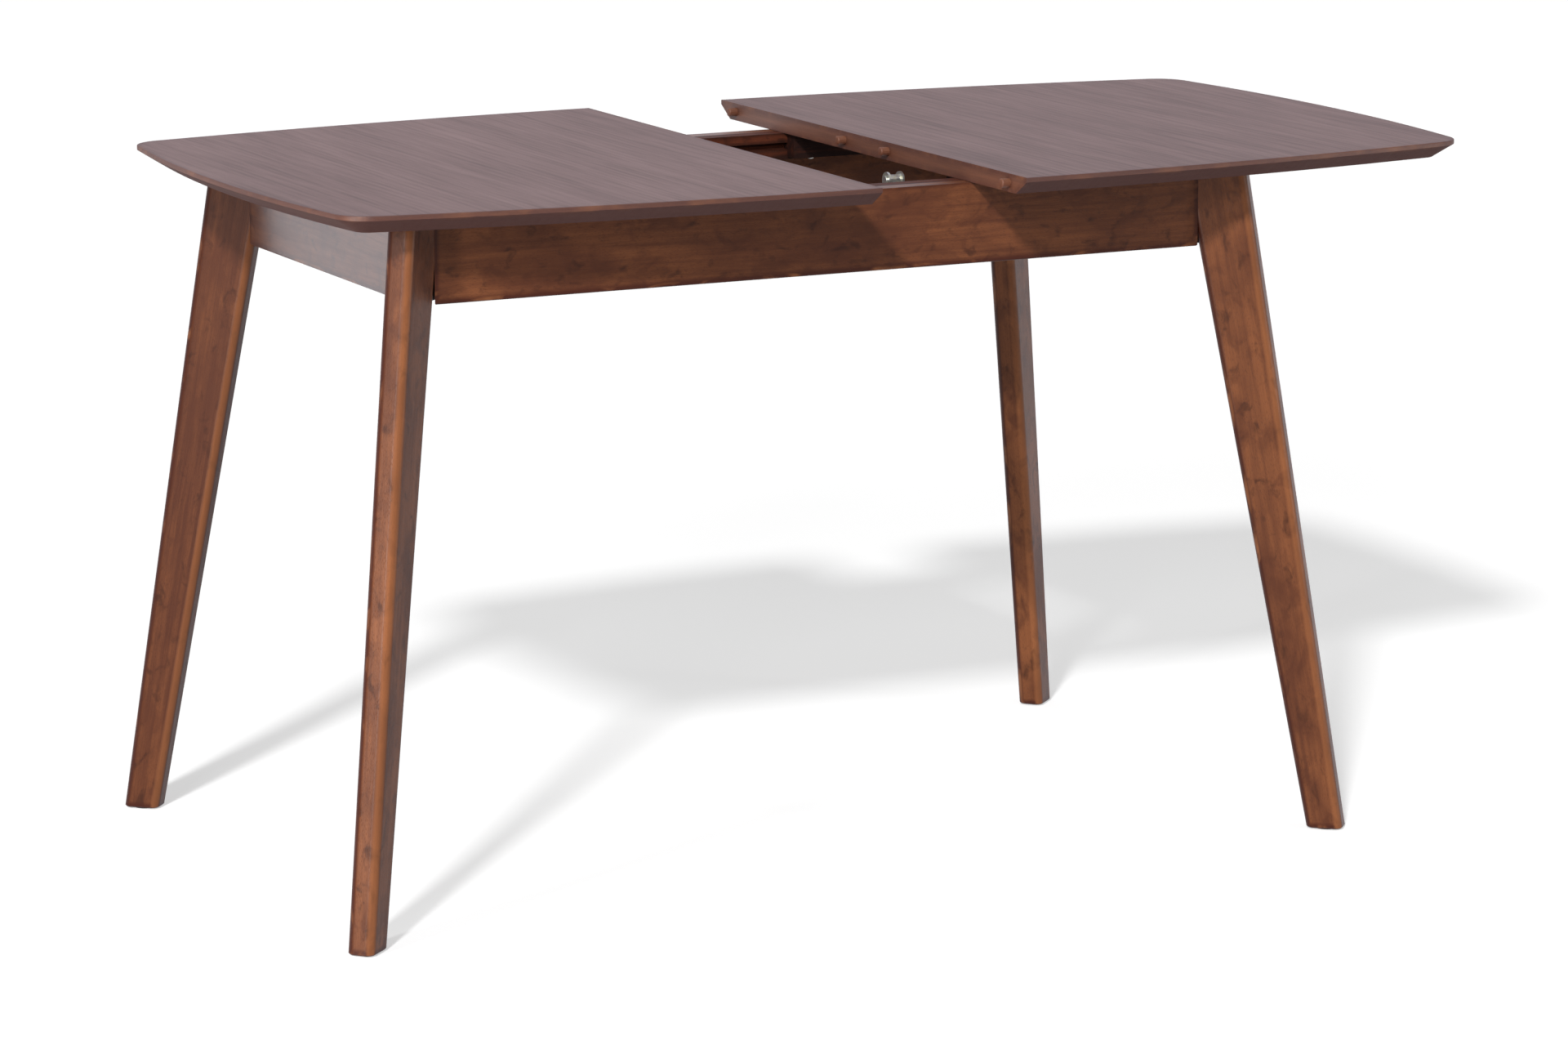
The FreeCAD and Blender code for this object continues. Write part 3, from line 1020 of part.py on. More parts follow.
def make_leaf():
    """The leaf: two panels folded face to face, with hinges in their meeting edges and dowels."""
    fold_panel = make_leaf_panel("leaf_fold_panel", FOLD_PANEL_BOTTOM, None, 1)
    node(fold_panel, "leaf_fold_panel")
    over = FreeCAD.Rotation(X_AXIS, HALF_TURN)
    pivot_panel = make_leaf_panel("leaf_pivot_panel", PIVOT_PANEL_TOP, over, -1)
    # Recesses for the pivot arms, open on the panel's underside
    arm_y = f"({FOLD_EDGE} - {PIVOT_DEPTH})"
    half = "(Sizes.plate_radius + Sizes.glue_gap)"
    depth = f"({PIVOT_PANEL_TOP} - {ARM_FOOT} + Sizes.glue_gap)"
    screws = [(arm_y, f"({PIVOT_PANEL_TOP} - {z})") for _, z in plate_screw_places(ARM_FOOT)]
    for side in (-1, 1):
        edge = f"({side} * {LEAF_EDGE})"
        recess = new_sketch(pivot_panel, "YZ_Plane", edge)
        polygon(recess, [
            (f"{arm_y} - {half}", "0"), (f"{arm_y} + {half}", "0"),
            (f"{arm_y} + {half}", depth), (f"{arm_y} - {half}", depth),
        ])
        pocket(pivot_panel, recess, "Sizes.plate_thickness", side < 0)
        bore(
            pivot_panel, "YZ_Plane", screws, "Sizes.plate_screw_radius + Sizes.glue_gap",
            "Sizes.plate_thickness + Sizes.plate_screw_length", side < 0, edge,
        )
    node(pivot_panel, "leaf_pivot_panel")

    upper = f"({PIVOT_PANEL_BOTTOM} + Sizes.top_thickness / 2)"
    lower = f"({FOLD_PANEL_BOTTOM} + Sizes.top_thickness / 2)"
    into_edge = FreeCAD.Rotation(X_AXIS, -QUARTER_TURN)
    # A link leaves the upper barrel outwards and curves down to the lower one
    half_ring = FreeCAD.Rotation(Z_AXIS, -Y_AXIS, X_AXIS)
    barrels = []
    links = []
    for x in HINGE_PLACES:
        for z in (upper, lower):
            barrels.append(
                cylinder(
                    "hinge_barrel", "Sizes.hinge_barrel_radius", "Sizes.hinge_barrel_length",
                    frame_point(x, FOLD_EDGE, z, into_edge),
                )
            )
        link = doc.addObject("Part::Torus", "hinge_link")
        link.setExpression("Radius1", f"({upper} - {lower}) / 2")
        link.setExpression("Radius2", "Sizes.hinge_link_radius")
        link.Angle3 = HALF_TURN
        link.Placement = frame_point(x, FOLD_EDGE, f"({upper} + {lower}) / 2", half_ring)
        links.append(link)
    group("leaf_hinge_barrels", barrels)
    group("leaf_hinge_links", links)
    places = [(f"({FOLD_EDGE} + {distance})", z) for distance in DOWEL_DISTANCES for z in (upper, lower)]
    make_dowels("leaf_dowels", f"(-{LEAF_EDGE})", places, -1)


def build():
    """Make every sub-part of the table."""
    for corner_name, side, depth in CORNERS:
        leg = make_leg(corner_name, side, depth)
        make_corner_block(corner_name, side, depth, leg)
    make_leg_fasteners()
    make_foot_glides()
    for depth_name, depth in DEPTHS:
        make_long_apron(depth_name, depth)
        make_slide_rail(depth_name, depth)
    for side_name, side in SIDES:
        make_short_apron(side_name, side)
        make_cross_rail(side_name, side)
    make_rest_rail()
    make_leaf()
    make_leaf_pivot()
    make_half_top("left", -1, "0")
    make_half_top("right", 1, SLIDE_TRAVEL)
    edge = f"(Sizes.seam_gap / 2 + {SLIDE_TRAVEL})"
    height = f"({UNDERSIDE} + Sizes.top_thickness / 2)"
    make_dowels("right_top_dowels", edge, [(y, height) for y in TOP_DOWEL_PLACES], -1)


def check():
    """Stop if anything in the document failed or holds no valid solid."""
    doc.recompute()
    for item in doc.Objects:
        if {"Invalid", "Error"} & set(item.State):
            raise RuntimeError(f"{item.Label} failed: {item.State}")
    for item in nodes:
        if item.Shape.isNull() or not item.Shape.isValid() or not item.Shape.Solids:
            raise RuntimeError(f"{item.Label} holds no valid solid")


def write():
    """Write every sub-part to its own file."""
    os.makedirs("parts", exist_ok=True)
    for item in nodes:
        item.Shape.exportStep(f"parts/{item.Label}.step")


build()
check()
write()
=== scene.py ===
import json
import math

import bpy
import numpy as np
from bpy.props import FloatProperty, FloatVectorProperty, IntProperty, PointerProperty
from bpy.types import Operator, Panel, PropertyGroup
from mathutils import Matrix, Vector


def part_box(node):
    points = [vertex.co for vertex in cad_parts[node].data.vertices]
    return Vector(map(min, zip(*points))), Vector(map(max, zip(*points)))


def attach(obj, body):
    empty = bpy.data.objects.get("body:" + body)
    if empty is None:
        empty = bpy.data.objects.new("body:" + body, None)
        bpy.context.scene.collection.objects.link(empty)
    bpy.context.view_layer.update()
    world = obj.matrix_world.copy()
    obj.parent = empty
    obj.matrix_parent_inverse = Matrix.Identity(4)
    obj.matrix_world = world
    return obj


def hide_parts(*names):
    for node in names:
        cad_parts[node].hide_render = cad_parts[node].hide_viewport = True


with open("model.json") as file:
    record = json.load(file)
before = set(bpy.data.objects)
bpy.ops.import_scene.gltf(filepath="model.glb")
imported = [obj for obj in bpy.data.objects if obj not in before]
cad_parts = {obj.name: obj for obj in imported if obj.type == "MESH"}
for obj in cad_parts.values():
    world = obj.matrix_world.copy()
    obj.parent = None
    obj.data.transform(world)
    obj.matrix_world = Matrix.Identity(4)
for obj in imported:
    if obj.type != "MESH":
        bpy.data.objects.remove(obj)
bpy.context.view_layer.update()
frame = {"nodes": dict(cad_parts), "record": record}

bl_info = {
    "name": "Extending dining table",
    "version": (1, 0, 0),
    "blender": (4, 5, 0),
    "location": "3D View > Sidebar > Table",
    "description": "Dresses a packed extending table in stained wood and metal and sets its stage",
    "category": "Object",
}

# Rounded edges: their steps, the angle past which an edge is sharp, the angle under which two
# faces are one flat face, the distance under which two corners are one, and how much more a
# large face turns the shading than a small one
ROUND_STEPS = 3
SHARPEST_SMOOTH_EDGE = math.radians(30)
FLAT_ENOUGH = math.radians(0.5)
WELD_DISTANCE = 0.00002
LARGE_FACE_WEIGHT = 80

# Grain directions in the table's own frame
LENGTHWISE = (1, 0, 0)
CROSSWISE = (0, 1, 0)

# Ways that the two far lamps shine: one above the other at the front left
HIGH_SHINE = (0.93, 1.14, -1.0)
LOW_SHINE = (1.5, 1.96, -1.0)

# Upright strip lamps, whose mirror images run down the legs: width and height, height of their
# middle, then the place of each and its share of the power
STRIP_SIZE = (0.14, 1.1)
STRIP_HEIGHT = 0.62
STRIP_LAMPS = {"left_strip": ((-1.94, -0.97), 1.0), "right_strip": ((2.2, -1.5), 0.5)}

# Width of the film, how far the camera sees, half the side of the floor, and the grey of the
# floor as it lights the table
FILM_WIDTH = 36
FARTHEST_SIGHT = 100
FLOOR_HALF = 30
PAPER_GREY = (0.5, 0.5, 0.5, 1)

# Which way the boards of each wooden piece were cut
APRON_GRAIN = {
    "front_apron": LENGTHWISE,
    "back_apron": LENGTHWISE,
    "left_apron": CROSSWISE,
    "right_apron": CROSSWISE,
}
END_APRONS = ("left_apron", "right_apron")
LEGS = ("front_left_leg", "front_right_leg", "back_left_leg", "back_right_leg")

# How thickly the end aprons are lacquered, how strongly each kind of wood mirrors, and how much
# the edges inside are rubbed
END_COAT_SHARE = 1.0
END_SHINE_SHARE = 0.6
SIDE_SHINE_SHARE = 0.15
INNER_SHINE_SHARE = 0.12
DOWEL_SHINE_SHARE = 0.4
INNER_RUBBED_SHARE = 0.3

# How much darker than its plain finish each board is, or lighter where it is below nothing:
# partly boards that differ at random, partly painted light and shade. The back apron and the back
# right leg are painted lighter where they stand in shade, the front left leg lighter for its
# highlight, and the back left leg darker where the strip lamp lights it
BOARD_LEAN_AND_PAINTED_LIGHT = {
    "front_apron": 0.0,
    "back_apron": -0.3,
    "left_apron": 0.2,
    "right_apron": 0.2,
    "front_left_leg": -0.1,
    "front_right_leg": -0.05,
    "back_left_leg": 0.5,
    "back_right_leg": -0.5,
    "left_top_panel": -0.05,
    "right_top_panel": 0.1,
    "leaf_pivot_panel": 0.6,
    "leaf_fold_panel": 0.6,
}
# The slide rails are painted lighter, as painted light falling through the gap between the halves
# of the top
SLIDE_RAIL_PAINTED_LIGHT = -0.3
INNER_LEAN = 0.45

# Lipping on the ends and meeting edges, and along the sides
LIPPING_RING_GAP = 0.006
END_LIPPING_LEAN = 0.0
SIDE_LIPPING_LEAN = 0.4

TOP_PANELS = ("left_top_panel", "right_top_panel")
LEAF_PANELS = ("leaf_pivot_panel", "leaf_fold_panel")
SLIDE_RAILS = ("front_slide_rail", "back_slide_rail")
INNER_GRAIN = {
    "front_slide_rail": LENGTHWISE,
    "back_slide_rail": LENGTHWISE,
    "left_front_runner": LENGTHWISE,
    "left_back_runner": LENGTHWISE,
    "right_front_runner": LENGTHWISE,
    "right_back_runner": LENGTHWISE,
    "leaf_rest_rail": LENGTHWISE,
    "left_top_batten": CROSSWISE,
    "right_top_batten": CROSSWISE,
    "left_cross_rail": CROSSWISE,
    "right_cross_rail": CROSSWISE,
    "front_left_corner_block": (1, -1, 0),
    "front_right_corner_block": (1, 1, 0),
    "back_left_corner_block": (1, 1, 0),
    "back_right_corner_block": (1, -1, 0),
}
DOWELS = ("right_top_dowels", "leaf_dowels")
SCREWS = (
    "front_slide_rail_screws",
    "back_slide_rail_screws",
    "left_runner_screws",
    "right_runner_screws",
    "left_batten_screws",
    "right_batten_screws",
    "leaf_rest_rail_screws",
    "pivot_bracket_screws",
    "pivot_arm_screws",
)
PLATED_PARTS = (
    "left_pivot_bracket",
    "right_pivot_bracket",
    "left_pivot_pin",
    "right_pivot_pin",
    "left_pivot_arm",
    "right_pivot_arm",
)
HINGE_PARTS = ("leaf_hinge_barrels", "leaf_hinge_links")


def stain(red, green, blue):
    """A colour as it looks on a screen, from 0 to 255, turned by the standard screen curve into
    the shares of light that a surface gives back."""
    seen = np.array([red, green, blue]) / 255
    low = seen / 12.92
    high = ((seen + 0.055) / 1.055) ** 2.4
    return tuple(float(part) for part in np.where(seen <= 0.04045, low, high))


def colour_field(name, description, value):
    """A colour that the user can change."""
    return FloatVectorProperty(
        name=name, description=description, default=value, size=3, subtype="COLOR", min=0, max=1
    )


def length_field(name, description, value):
    """A length in metres that the user can change."""
    return FloatProperty(
        name=name, description=description, default=value, unit="LENGTH", min=0, precision=5
    )


def share_field(name, description, value):
    """A share from nothing to all that the user can change."""
    return FloatProperty(
        name=name, description=description, default=value, subtype="FACTOR", min=0, max=1
    )


class TopFinish(PropertyGroup):
    """Veneer, lipping and underside of the two halves of the top and of the leaf."""

    light: colour_field("Light veneer", "Early wood of the veneer", stain(114, 79, 71))
    dark: colour_field("Dark veneer", "Late wood of the veneer", stain(71, 44, 38))
    pore: colour_field("Pores", "Stain that gathers in the open pores", stain(48, 28, 25))
    band_light: colour_field("Light lipping", "Light wood of the edges", stain(118, 73, 52))
    band_dark: colour_field("Dark lipping", "Dark wood of the edges", stain(70, 40, 28))
    # On the downward bevel this colour is painted shade; along the edges it is gathered stain
    bevel: colour_field("Bevel", "Stain that gathers on bevel and edges", stain(60, 22, 13))
    under: colour_field("Underside", "Stained backing veneer", stain(44, 26, 21))
    roughness: share_field("Roughness", "Satin of the lacquer", 0.5)
    ring_gap: length_field("Ring gap", "Spacing of the growth rings", 0.009)


class FrameFinish(PropertyGroup):
    """Stained solid wood of the aprons and legs."""

    light: colour_field("Light wood", "Early wood under the stain", stain(128, 77, 47))
    dark: colour_field("Dark wood", "Late wood under the stain", stain(74, 39, 25))
    pore: colour_field("Pores", "Stain that gathers in the open pores", stain(46, 22, 14))
    edge: colour_field("Edges", "Stain that gathers along the edges", stain(60, 25, 15))
    # The worn colour is also painted along the legs' front and back long edges as a highlight
    worn: colour_field("Worn edge", "Wood where the stain has rubbed off", stain(160, 102, 64))
    roughness: share_field("Roughness", "Satin of the lacquer", 0.33)
    ring_gap: length_field("Ring gap", "Spacing of the growth rings", 0.006)


class InnerFinish(PropertyGroup):
    """Rails, runners, battens and blocks, stained once and not lacquered."""

    light: colour_field("Light wood", "Early wood under the stain", stain(92, 46, 29))
    dark: colour_field("Dark wood", "Late wood under the stain", stain(30, 13, 10))
    pore: colour_field("Pores", "Stain that gathers in the open pores", stain(20, 10, 8))
    edge: colour_field("Edges", "Stain that gathers along the edges", stain(30, 14, 10))
    worn: colour_field("Worn edge", "Wood where the stain has rubbed off", stain(84, 48, 34))
    roughness: share_field("Roughness", "Bare stained wood", 0.62)
    ring_gap: length_field("Ring gap", "Spacing of the growth rings", 0.005)


class DowelFinish(PropertyGroup):
    """Unstained hardwood dowels."""

    light: colour_field("Light wood", "Early wood of the dowel", stain(124, 80, 56))
    dark: colour_field("Dark wood", "Late wood of the dowel", stain(94, 57, 39))
    pore: colour_field("Pores", "Open pores of the dowel", stain(76, 44, 29))
    edge: colour_field("Edges", "Stain that has crept onto the rim", stain(98, 56, 38))
    worn: colour_field("Worn edge", "Polished rim of the dowel", stain(164, 112, 80))
    roughness: share_field("Roughness", "Turned bare wood", 0.55)
    ring_gap: length_field("Ring gap", "Spacing of the growth rings", 0.002)


class MetalFinish(PropertyGroup):
    """Zinc plated steel, hinge brass and the nylon of the foot glides."""

    zinc: colour_field("Zinc", "Plated steel", stain(196, 198, 196))
    zinc_stain: colour_field("Zinc haze", "Passivated haze on the plating", stain(176, 172, 150))
    brass: colour_field("Brass", "Hinge brass", stain(204, 168, 98))
    brass_stain: colour_field("Brass tarnish", "Tarnish on the brass", stain(128, 92, 48))
    nylon: colour_field("Nylon", "Foot glides", stain(38, 30, 26))
    scuffed: colour_field("Scuffed nylon", "Glides where they have rubbed", stain(90, 84, 80))
    roughness: share_field("Roughness", "Tumbled and plated metal", 0.34)


class HardwareSizes(PropertyGroup):
    """Threads, recesses and flutes of the screws, bolts, nuts and dowels."""

    screw_pitch: length_field("Screw pitch", "Advance of a wood screw's thread", 0.0018)
    screw_core_share: share_field("Screw core", "A wood screw's core as a share of its radius", 0.7)
    bolt_pitch: length_field("Bolt pitch", "Advance of a leg bolt's thread", 0.00125)
    bolt_core_share: share_field("Bolt core", "A leg bolt's core as a share of its radius", 0.83)
    recess_depth_share: share_field("Recess depth", "Depth of a cross recess in its head", 0.62)
    recess_reach_share: share_field("Recess reach", "Reach of a cross recess in its head", 0.56)
    recess_arm_share: share_field("Recess arm", "Half the width of an arm of the recess", 0.15)
    flute_depth_share: share_field("Flute depth", "Depth of a dowel's flutes in its radius", 0.05)
    flutes: IntProperty(name="Flutes", description="Flutes round a dowel", default=14, min=3)
    chamfer: length_field("Chamfer", "Chamfer at the ends of dowels and bolts", 0.0009)


class StageSettings(PropertyGroup):
    """Camera, lamps and floor."""

    camera_place: FloatVectorProperty(
        name="Camera", description="Place of the camera", size=3, unit="LENGTH",
        default=(-2.6792, -5.4504, 1.5574),
    )
    camera_turn: FloatProperty(
        name="Turn", description="Turn of the camera to the right of straight on",
        default=math.radians(26.0325), unit="ROTATION",
    )
    camera_tilt: FloatProperty(
        name="Tilt", description="Tilt of the camera above the horizon",
        default=math.radians(-11.4256), unit="ROTATION",
    )
    camera_roll: FloatProperty(
        name="Roll", description="Lean of the camera", default=math.radians(-0.1124),
        unit="ROTATION",
    )
    focal_length: FloatProperty(
        name="Focal length", description="Focal length for a 36 mm film", default=126.86,
        unit="CAMERA",
    )
    high_strength: FloatProperty(
        name="High lamp", description="Strength of the high lamp", default=2.85, min=0
    )
    high_spread: FloatProperty(
        name="High spread", description="Angle that the high lamp fills in the sky",
        default=math.radians(5), unit="ROTATION",
    )
    low_strength: FloatProperty(
        name="Low lamp", description="Strength of the low lamp", default=0.6, min=0
    )
    low_spread: FloatProperty(
        name="Low spread", description="Angle that the low lamp fills in the sky",
        default=math.radians(10), unit="ROTATION",
    )
    strip_power: FloatProperty(
        name="Strip lamp", description="Watts of the strip lamps", default=16.0, min=0
    )
    room_strength: FloatProperty(
        name="Room light", description="Light from the walls of the studio", default=0.24, min=0
    )
    room_tint: colour_field(
        "Room tint", "Colour that the room has where lacquer mirrors it", (0.88, 0.89, 0.99)
    )
    floor_glow_share: share_field("Floor glow", "White that the paper floor shows in shadow", 0.53)
    floor_tone_share: share_field("Floor tone", "White of the floor that the lamps light", 0.6)


class TableSettings(PropertyGroup):
    """Everything that a user would change on the table."""

    top: PointerProperty(name="Top", description="Finish of the top", type=TopFinish)
    timber: PointerProperty(name="Frame", description="Finish of the frame", type=FrameFinish)
    inner: PointerProperty(name="Inside", description="Finish of the inside", type=InnerFinish)
    dowel: PointerProperty(name="Dowels", description="Finish of the dowels", type=DowelFinish)
    metal: PointerProperty(name="Metal", description="Finish of the fittings", type=MetalFinish)
    hardware: PointerProperty(
        name="Hardware", description="Threads, recesses and flutes", type=HardwareSizes
    )
    stage: PointerProperty(name="Stage", description="Camera, lamps, floor", type=StageSettings)
    eased_edge: length_field("Eased edge", "Rounding of the edges that hands touch", 0.0016)
    inner_eased_edge: length_field("Inner edge", "Rounding of the edges inside", 0.0008)


# Wood, metal and nylon

# How far up the tree each next board was cut, and how far from the heart of its log the middle
# of a solid board, of a leaf of veneer and of a lipping lies
TREE_STEP = 3.1
SOLID_HEART = (0.07, 0.05)
VENEER_HEART = (0.9, 0.1)
LIPPING_HEART = (0.5, 0.1)

# Growth rings: how fast and how far their heart wanders, how slowly they change along the tree,
# how ragged they are, and how many radians the wave texture turns in a unit
HEART_PACE = (1.1, 6, 6)
HEART_SWAY = 0.05
RING_STRETCH = (0.06, 1, 1)
RAGGED_RINGS = {"Distortion": 3.0, "Detail": 3, "Detail Scale": 0.6}
WAVE_RATE = 20

# Figure of a board: length, width and detail of its patches, its streaks and its fibres, how
# much each of them and the rings change the tone, the streaks in which rings show, and how far
# the tone reaches to each side of its middle
FIGURE = (((0.35, 0.05), 3), ((0.16, 0.006), 3), ((0.03, 0.0009), 2))
FIGURE_SHARES = (0.5, 0.5, 0.3)
RING_SHARE = 0.12
RINGED_STREAKS = (0.35, 0.65)
TONE_REACH = 0.55

# Pores: length and width, where their rims start and end, how much darker they are, and how
# deep they lie and how high the fibres stand as shares of the relief
PORE_SIZE = (0.006, 0.0007)
PORE_RIM = (0.16, 0.30)
PORE_SHARE = 0.5
PORE_DEPTH_SHARE = 0.9
FIBRE_HEIGHT_SHARE = 0.5

# Uneven stain, broad, small and in flecks: length and width, detail, distortion, where it starts
# and is full, how much it shows and which of the finish's colours it has
STAIN_MARKS = (
    ((0.10, 0.045), 4, 0.4, (0.45, 0.66), 0.70, "dark"),
    ((0.035, 0.022), 4, 0.8, (0.50, 0.68), 0.65, "dark"),
    ((0.024, 0.015), 4, 0.7, (0.58, 0.71), 0.60, "pore"),
)

# Cosine between a face's normal and that of a rounded copy, on the flat and on an edge, and
# how many rays feel for the rounded copy
EDGE_COSINES = (0.997, 0.90)
EDGE_RAYS = 4

# How far the normal of a leg's edge leaves 45 degrees where the rounding starts and is full
ROUNDING_TURN = (0.06, 0.55)

# A darker band along the lowest few millimetres of a piece: how high it is full and ends, and the
# waves of its upper line
LOWEST_BAND_HEIGHTS = (0.005, 0.010)
LOWEST_BAND_WAVES = (0.02, 0.01)
LOWEST_BAND_SWAY = 0.004

# Edges of solid wood: how far in they reach, how dark stain makes them, how strongly the worn
# colour is laid on the legs' front and back long edges as a painted highlight, how much all edges
# are rubbed, the patches in which they are, and how near the very edge
TIMBER_EDGE = 0.008
TIMBER_EDGE_SHARE = 0.9
FRONT_EDGE_HIGHLIGHT_SHARE = 0.33
RUBBED_SHARE = 0.5
RUBBED_PATCHES = ((0.05, 0.02), 4, 0.5)
RUBBED_RANGE = (0.55, 0.7)
RUBBED_EDGE = 0.55

# Edges of the top: the same, and how dark its downward bevel is painted as shade
TOP_EDGE = 0.012
TOP_EDGE_SHARE = 0.8
TOP_RUBBED_PATCHES = ((0.04, 0.02), 3)
TOP_RUBBED_RANGE = (0.5, 0.7)
TOP_RUBBED_SHARE = 0.3
TOP_RUBBED_EDGE = 0.6
BEVEL_SHADE_SHARE = 0.85

# Upward part of the normal where veneer, bevel and underside start and are full, and sideways
# part where the lipping of an end does
VENEERED_FACE = (0.6, 0.8)
BEVELLED_FACE = (-0.35, -0.6)
UNDER_FACE = (-0.93, -0.97)
END_FACE = (0.35, 0.45)

# How much the rings and pores of the veneer show
VENEER_RING_SHARE = 0.3
VENEER_PORE_SHARE = 0.35

# Change of roughness on the lightest and darkest wood and on the bevel, relief with its depth
# and how much it shows, and roughness of the thick lacquer
TIMBER_GLOSS = (-0.05, 0.08)
VENEER_GLOSS = (-0.04, 0.07)
BEVEL_GLOSS = 0.4
TIMBER_RELIEF = (0.0004, 0.25)
VENEER_RELIEF = (0.0003, 0.2)
COAT_ROUGHNESS = 0.25

# Metal: patches and range of its haze and how much rougher it is, tumbling marks and their
# relief, and how far in an edge is bright
HAZE_PATCHES = ((0.004, 0.004), 4, 0.5)
HAZE_RANGE = (0.4, 0.7)
HAZE_ROUGHNESS = 0.2
TUMBLING_MARKS = (0.0012, 0.0003)
TUMBLING_RELIEF = (0.00005, 0.3)
METAL_EDGE = 0.0005

# Nylon: roughness of its skin, clean and scuffed, patches and range of the scuffs and how much
# they show, and its spark-eroded skin with its relief
NYLON_ROUGHNESS = (0.42, 0.7)
SCUFFS = ((0.003, 0.0015), 4)
SCUFF_RANGE = (0.5, 0.8)
SCUFF_SHARE = 0.35
ERODED_SKIN = (0.0004, 0.0004)
ERODED_RELIEF = (0.00008, 0.4)


# Node trees


def add_node(tree, kind, **settings):
    """A new node of this kind with its own settings."""
    made = tree.nodes.new(kind)
    for setting, value in settings.items():
        setattr(made, setting, value)
    return made


def feed(tree, socket, value):
    """Puts a number or colour into a socket, or wires another node's output to it."""
    if isinstance(value, bpy.types.NodeSocket):
        tree.links.new(value, socket)
    else:
        socket.default_value = value


def maths(tree, operation, *values, limited=False):
    """The result of one sum on numbers or outputs."""
    made = add_node(tree, "ShaderNodeMath", operation=operation, use_clamp=limited)
    for socket, value in zip(made.inputs, values):
        feed(tree, socket, value)
    return made.outputs["Value"]


def vector_maths(tree, operation, first, second, output="Vector"):
    """The result of one sum on vectors."""
    made = add_node(tree, "ShaderNodeVectorMath", operation=operation)
    feed(tree, made.inputs[0], first)
    feed(tree, made.inputs[1], second)
    return made.outputs[output]


def blend_colours(tree, share, first, second):
    """From the first colour to the second by a share."""
    made = add_node(tree, "ShaderNodeMix", data_type="RGBA")
    feed(tree, made.inputs["Factor"], share)
    for socket, value in (("A", first), ("B", second)):
        target = [s for s in made.inputs if s.name == socket and s.type == "RGBA"][0]
        feed(tree, target, value if isinstance(value, bpy.types.NodeSocket) else (*value, 1))
    return [s for s in made.outputs if s.type == "RGBA"][0]


def rescale(tree, value, low, high, to_low=0.0, to_high=1.0):
    """Stretches the range low to high of a value over another range, and keeps it there."""
    made = add_node(tree, "ShaderNodeMapRange", clamp=True)
    feed(tree, made.inputs["Value"], value)
    made.inputs["From Min"].default_value = low
    made.inputs["From Max"].default_value = high
    made.inputs["To Min"].default_value = to_low
    made.inputs["To Max"].default_value = to_high
    return made.outputs["Result"]


def drawn_out(tree, place, size):
    """Coordinates in which a mark of this length with the grain and this width is one unit."""
    along, across = size
    return vector_maths(tree, "MULTIPLY", place, (1 / along, 1 / across, 1 / across))


def clouds(tree, place, size, detail=2.0, distortion=0.0):
    """Noise whose patches have this length with the grain and this width."""
    made = add_node(tree, "ShaderNodeTexNoise", noise_dimensions="3D")
    feed(tree, made.inputs["Vector"], drawn_out(tree, place, size))
    made.inputs["Scale"].default_value = 1
    made.inputs["Detail"].default_value = detail
    made.inputs["Distortion"].default_value = distortion
    return made.outputs["Fac"]


def lay_over(tree, mask, share, under, over):
    """One colour laid over another where a mask says so, and there by this share."""
    return blend_colours(tree, maths(tree, "MULTIPLY", mask, share), under, over)


def new_material(name, roughness, coat=0.0, metallic=0.0, shine=0.5):
    """A material with one Principled shader, whose even values are set on its own sockets."""
    material = bpy.data.materials.new(name)
    material.use_nodes = True
    tree = material.node_tree
    shader = tree.nodes["Principled BSDF"]
    shader.inputs["Roughness"].default_value = roughness
    shader.inputs["Metallic"].default_value = metallic
    shader.inputs["Specular IOR Level"].default_value = shine
    shader.inputs["Coat Weight"].default_value = coat
    shader.inputs["Coat Roughness"].default_value = COAT_ROUGHNESS
    return material, tree, shader


def own_place(tree):
    """The piece's own coordinates in metres."""
    return add_node(tree, "ShaderNodeTexCoord").outputs["Object"]


def facing(tree):
    """The sideways, forward and upward parts of the piece's own normal."""
    own = add_node(tree, "ShaderNodeTexCoord")
    parts = add_node(tree, "ShaderNodeSeparateXYZ")
    feed(tree, parts.inputs["Vector"], own.outputs["Normal"])
    return parts.outputs["X"], parts.outputs["Y"], parts.outputs["Z"]


def grain_place(tree, node, grain, seed, heart):
    """The piece's own coordinates in metres, turned so that x runs with the grain.

    The middle of the board lies heart metres from the heart of its log, and each seed takes it
    from another height of the tree.
    """
    turn = Vector(grain).normalized().rotation_difference(Vector(LENGTHWISE))
    low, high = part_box(node)
    middle = turn @ ((low + high) / 2)
    shifted = add_node(tree, "ShaderNodeMapping", vector_type="POINT")
    shifted.inputs["Rotation"].default_value = turn.to_euler()
    shifted.inputs["Location"].default_value = Vector((TREE_STEP * seed, *heart)) - middle
    feed(tree, shifted.inputs["Vector"], own_place(tree))
    return shifted.outputs["Vector"]


def growth_rings(tree, place, gap):
    """Rings round a heart that wanders as it climbs, from 0 in early wood to 1 in late wood."""
    sway = add_node(tree, "ShaderNodeTexNoise", noise_dimensions="3D")
    feed(tree, sway.inputs["Vector"], vector_maths(tree, "MULTIPLY", place, HEART_PACE))
    sway.inputs["Scale"].default_value = 1
    sway.inputs["Detail"].default_value = 2
    pushed = vector_maths(tree, "MULTIPLY", sway.outputs["Color"], (HEART_SWAY,) * 3)
    bent = vector_maths(tree, "ADD", place, pushed)
    rings = add_node(
        tree, "ShaderNodeTexWave", wave_type="RINGS", rings_direction="X", wave_profile="SIN"
    )
    feed(tree, rings.inputs["Vector"], vector_maths(tree, "MULTIPLY", bent, RING_STRETCH))
    rings.inputs["Scale"].default_value = 2 * math.pi / (WAVE_RATE * gap)
    for setting, value in RAGGED_RINGS.items():
        rings.inputs[setting].default_value = value
    return rings.outputs["Fac"]


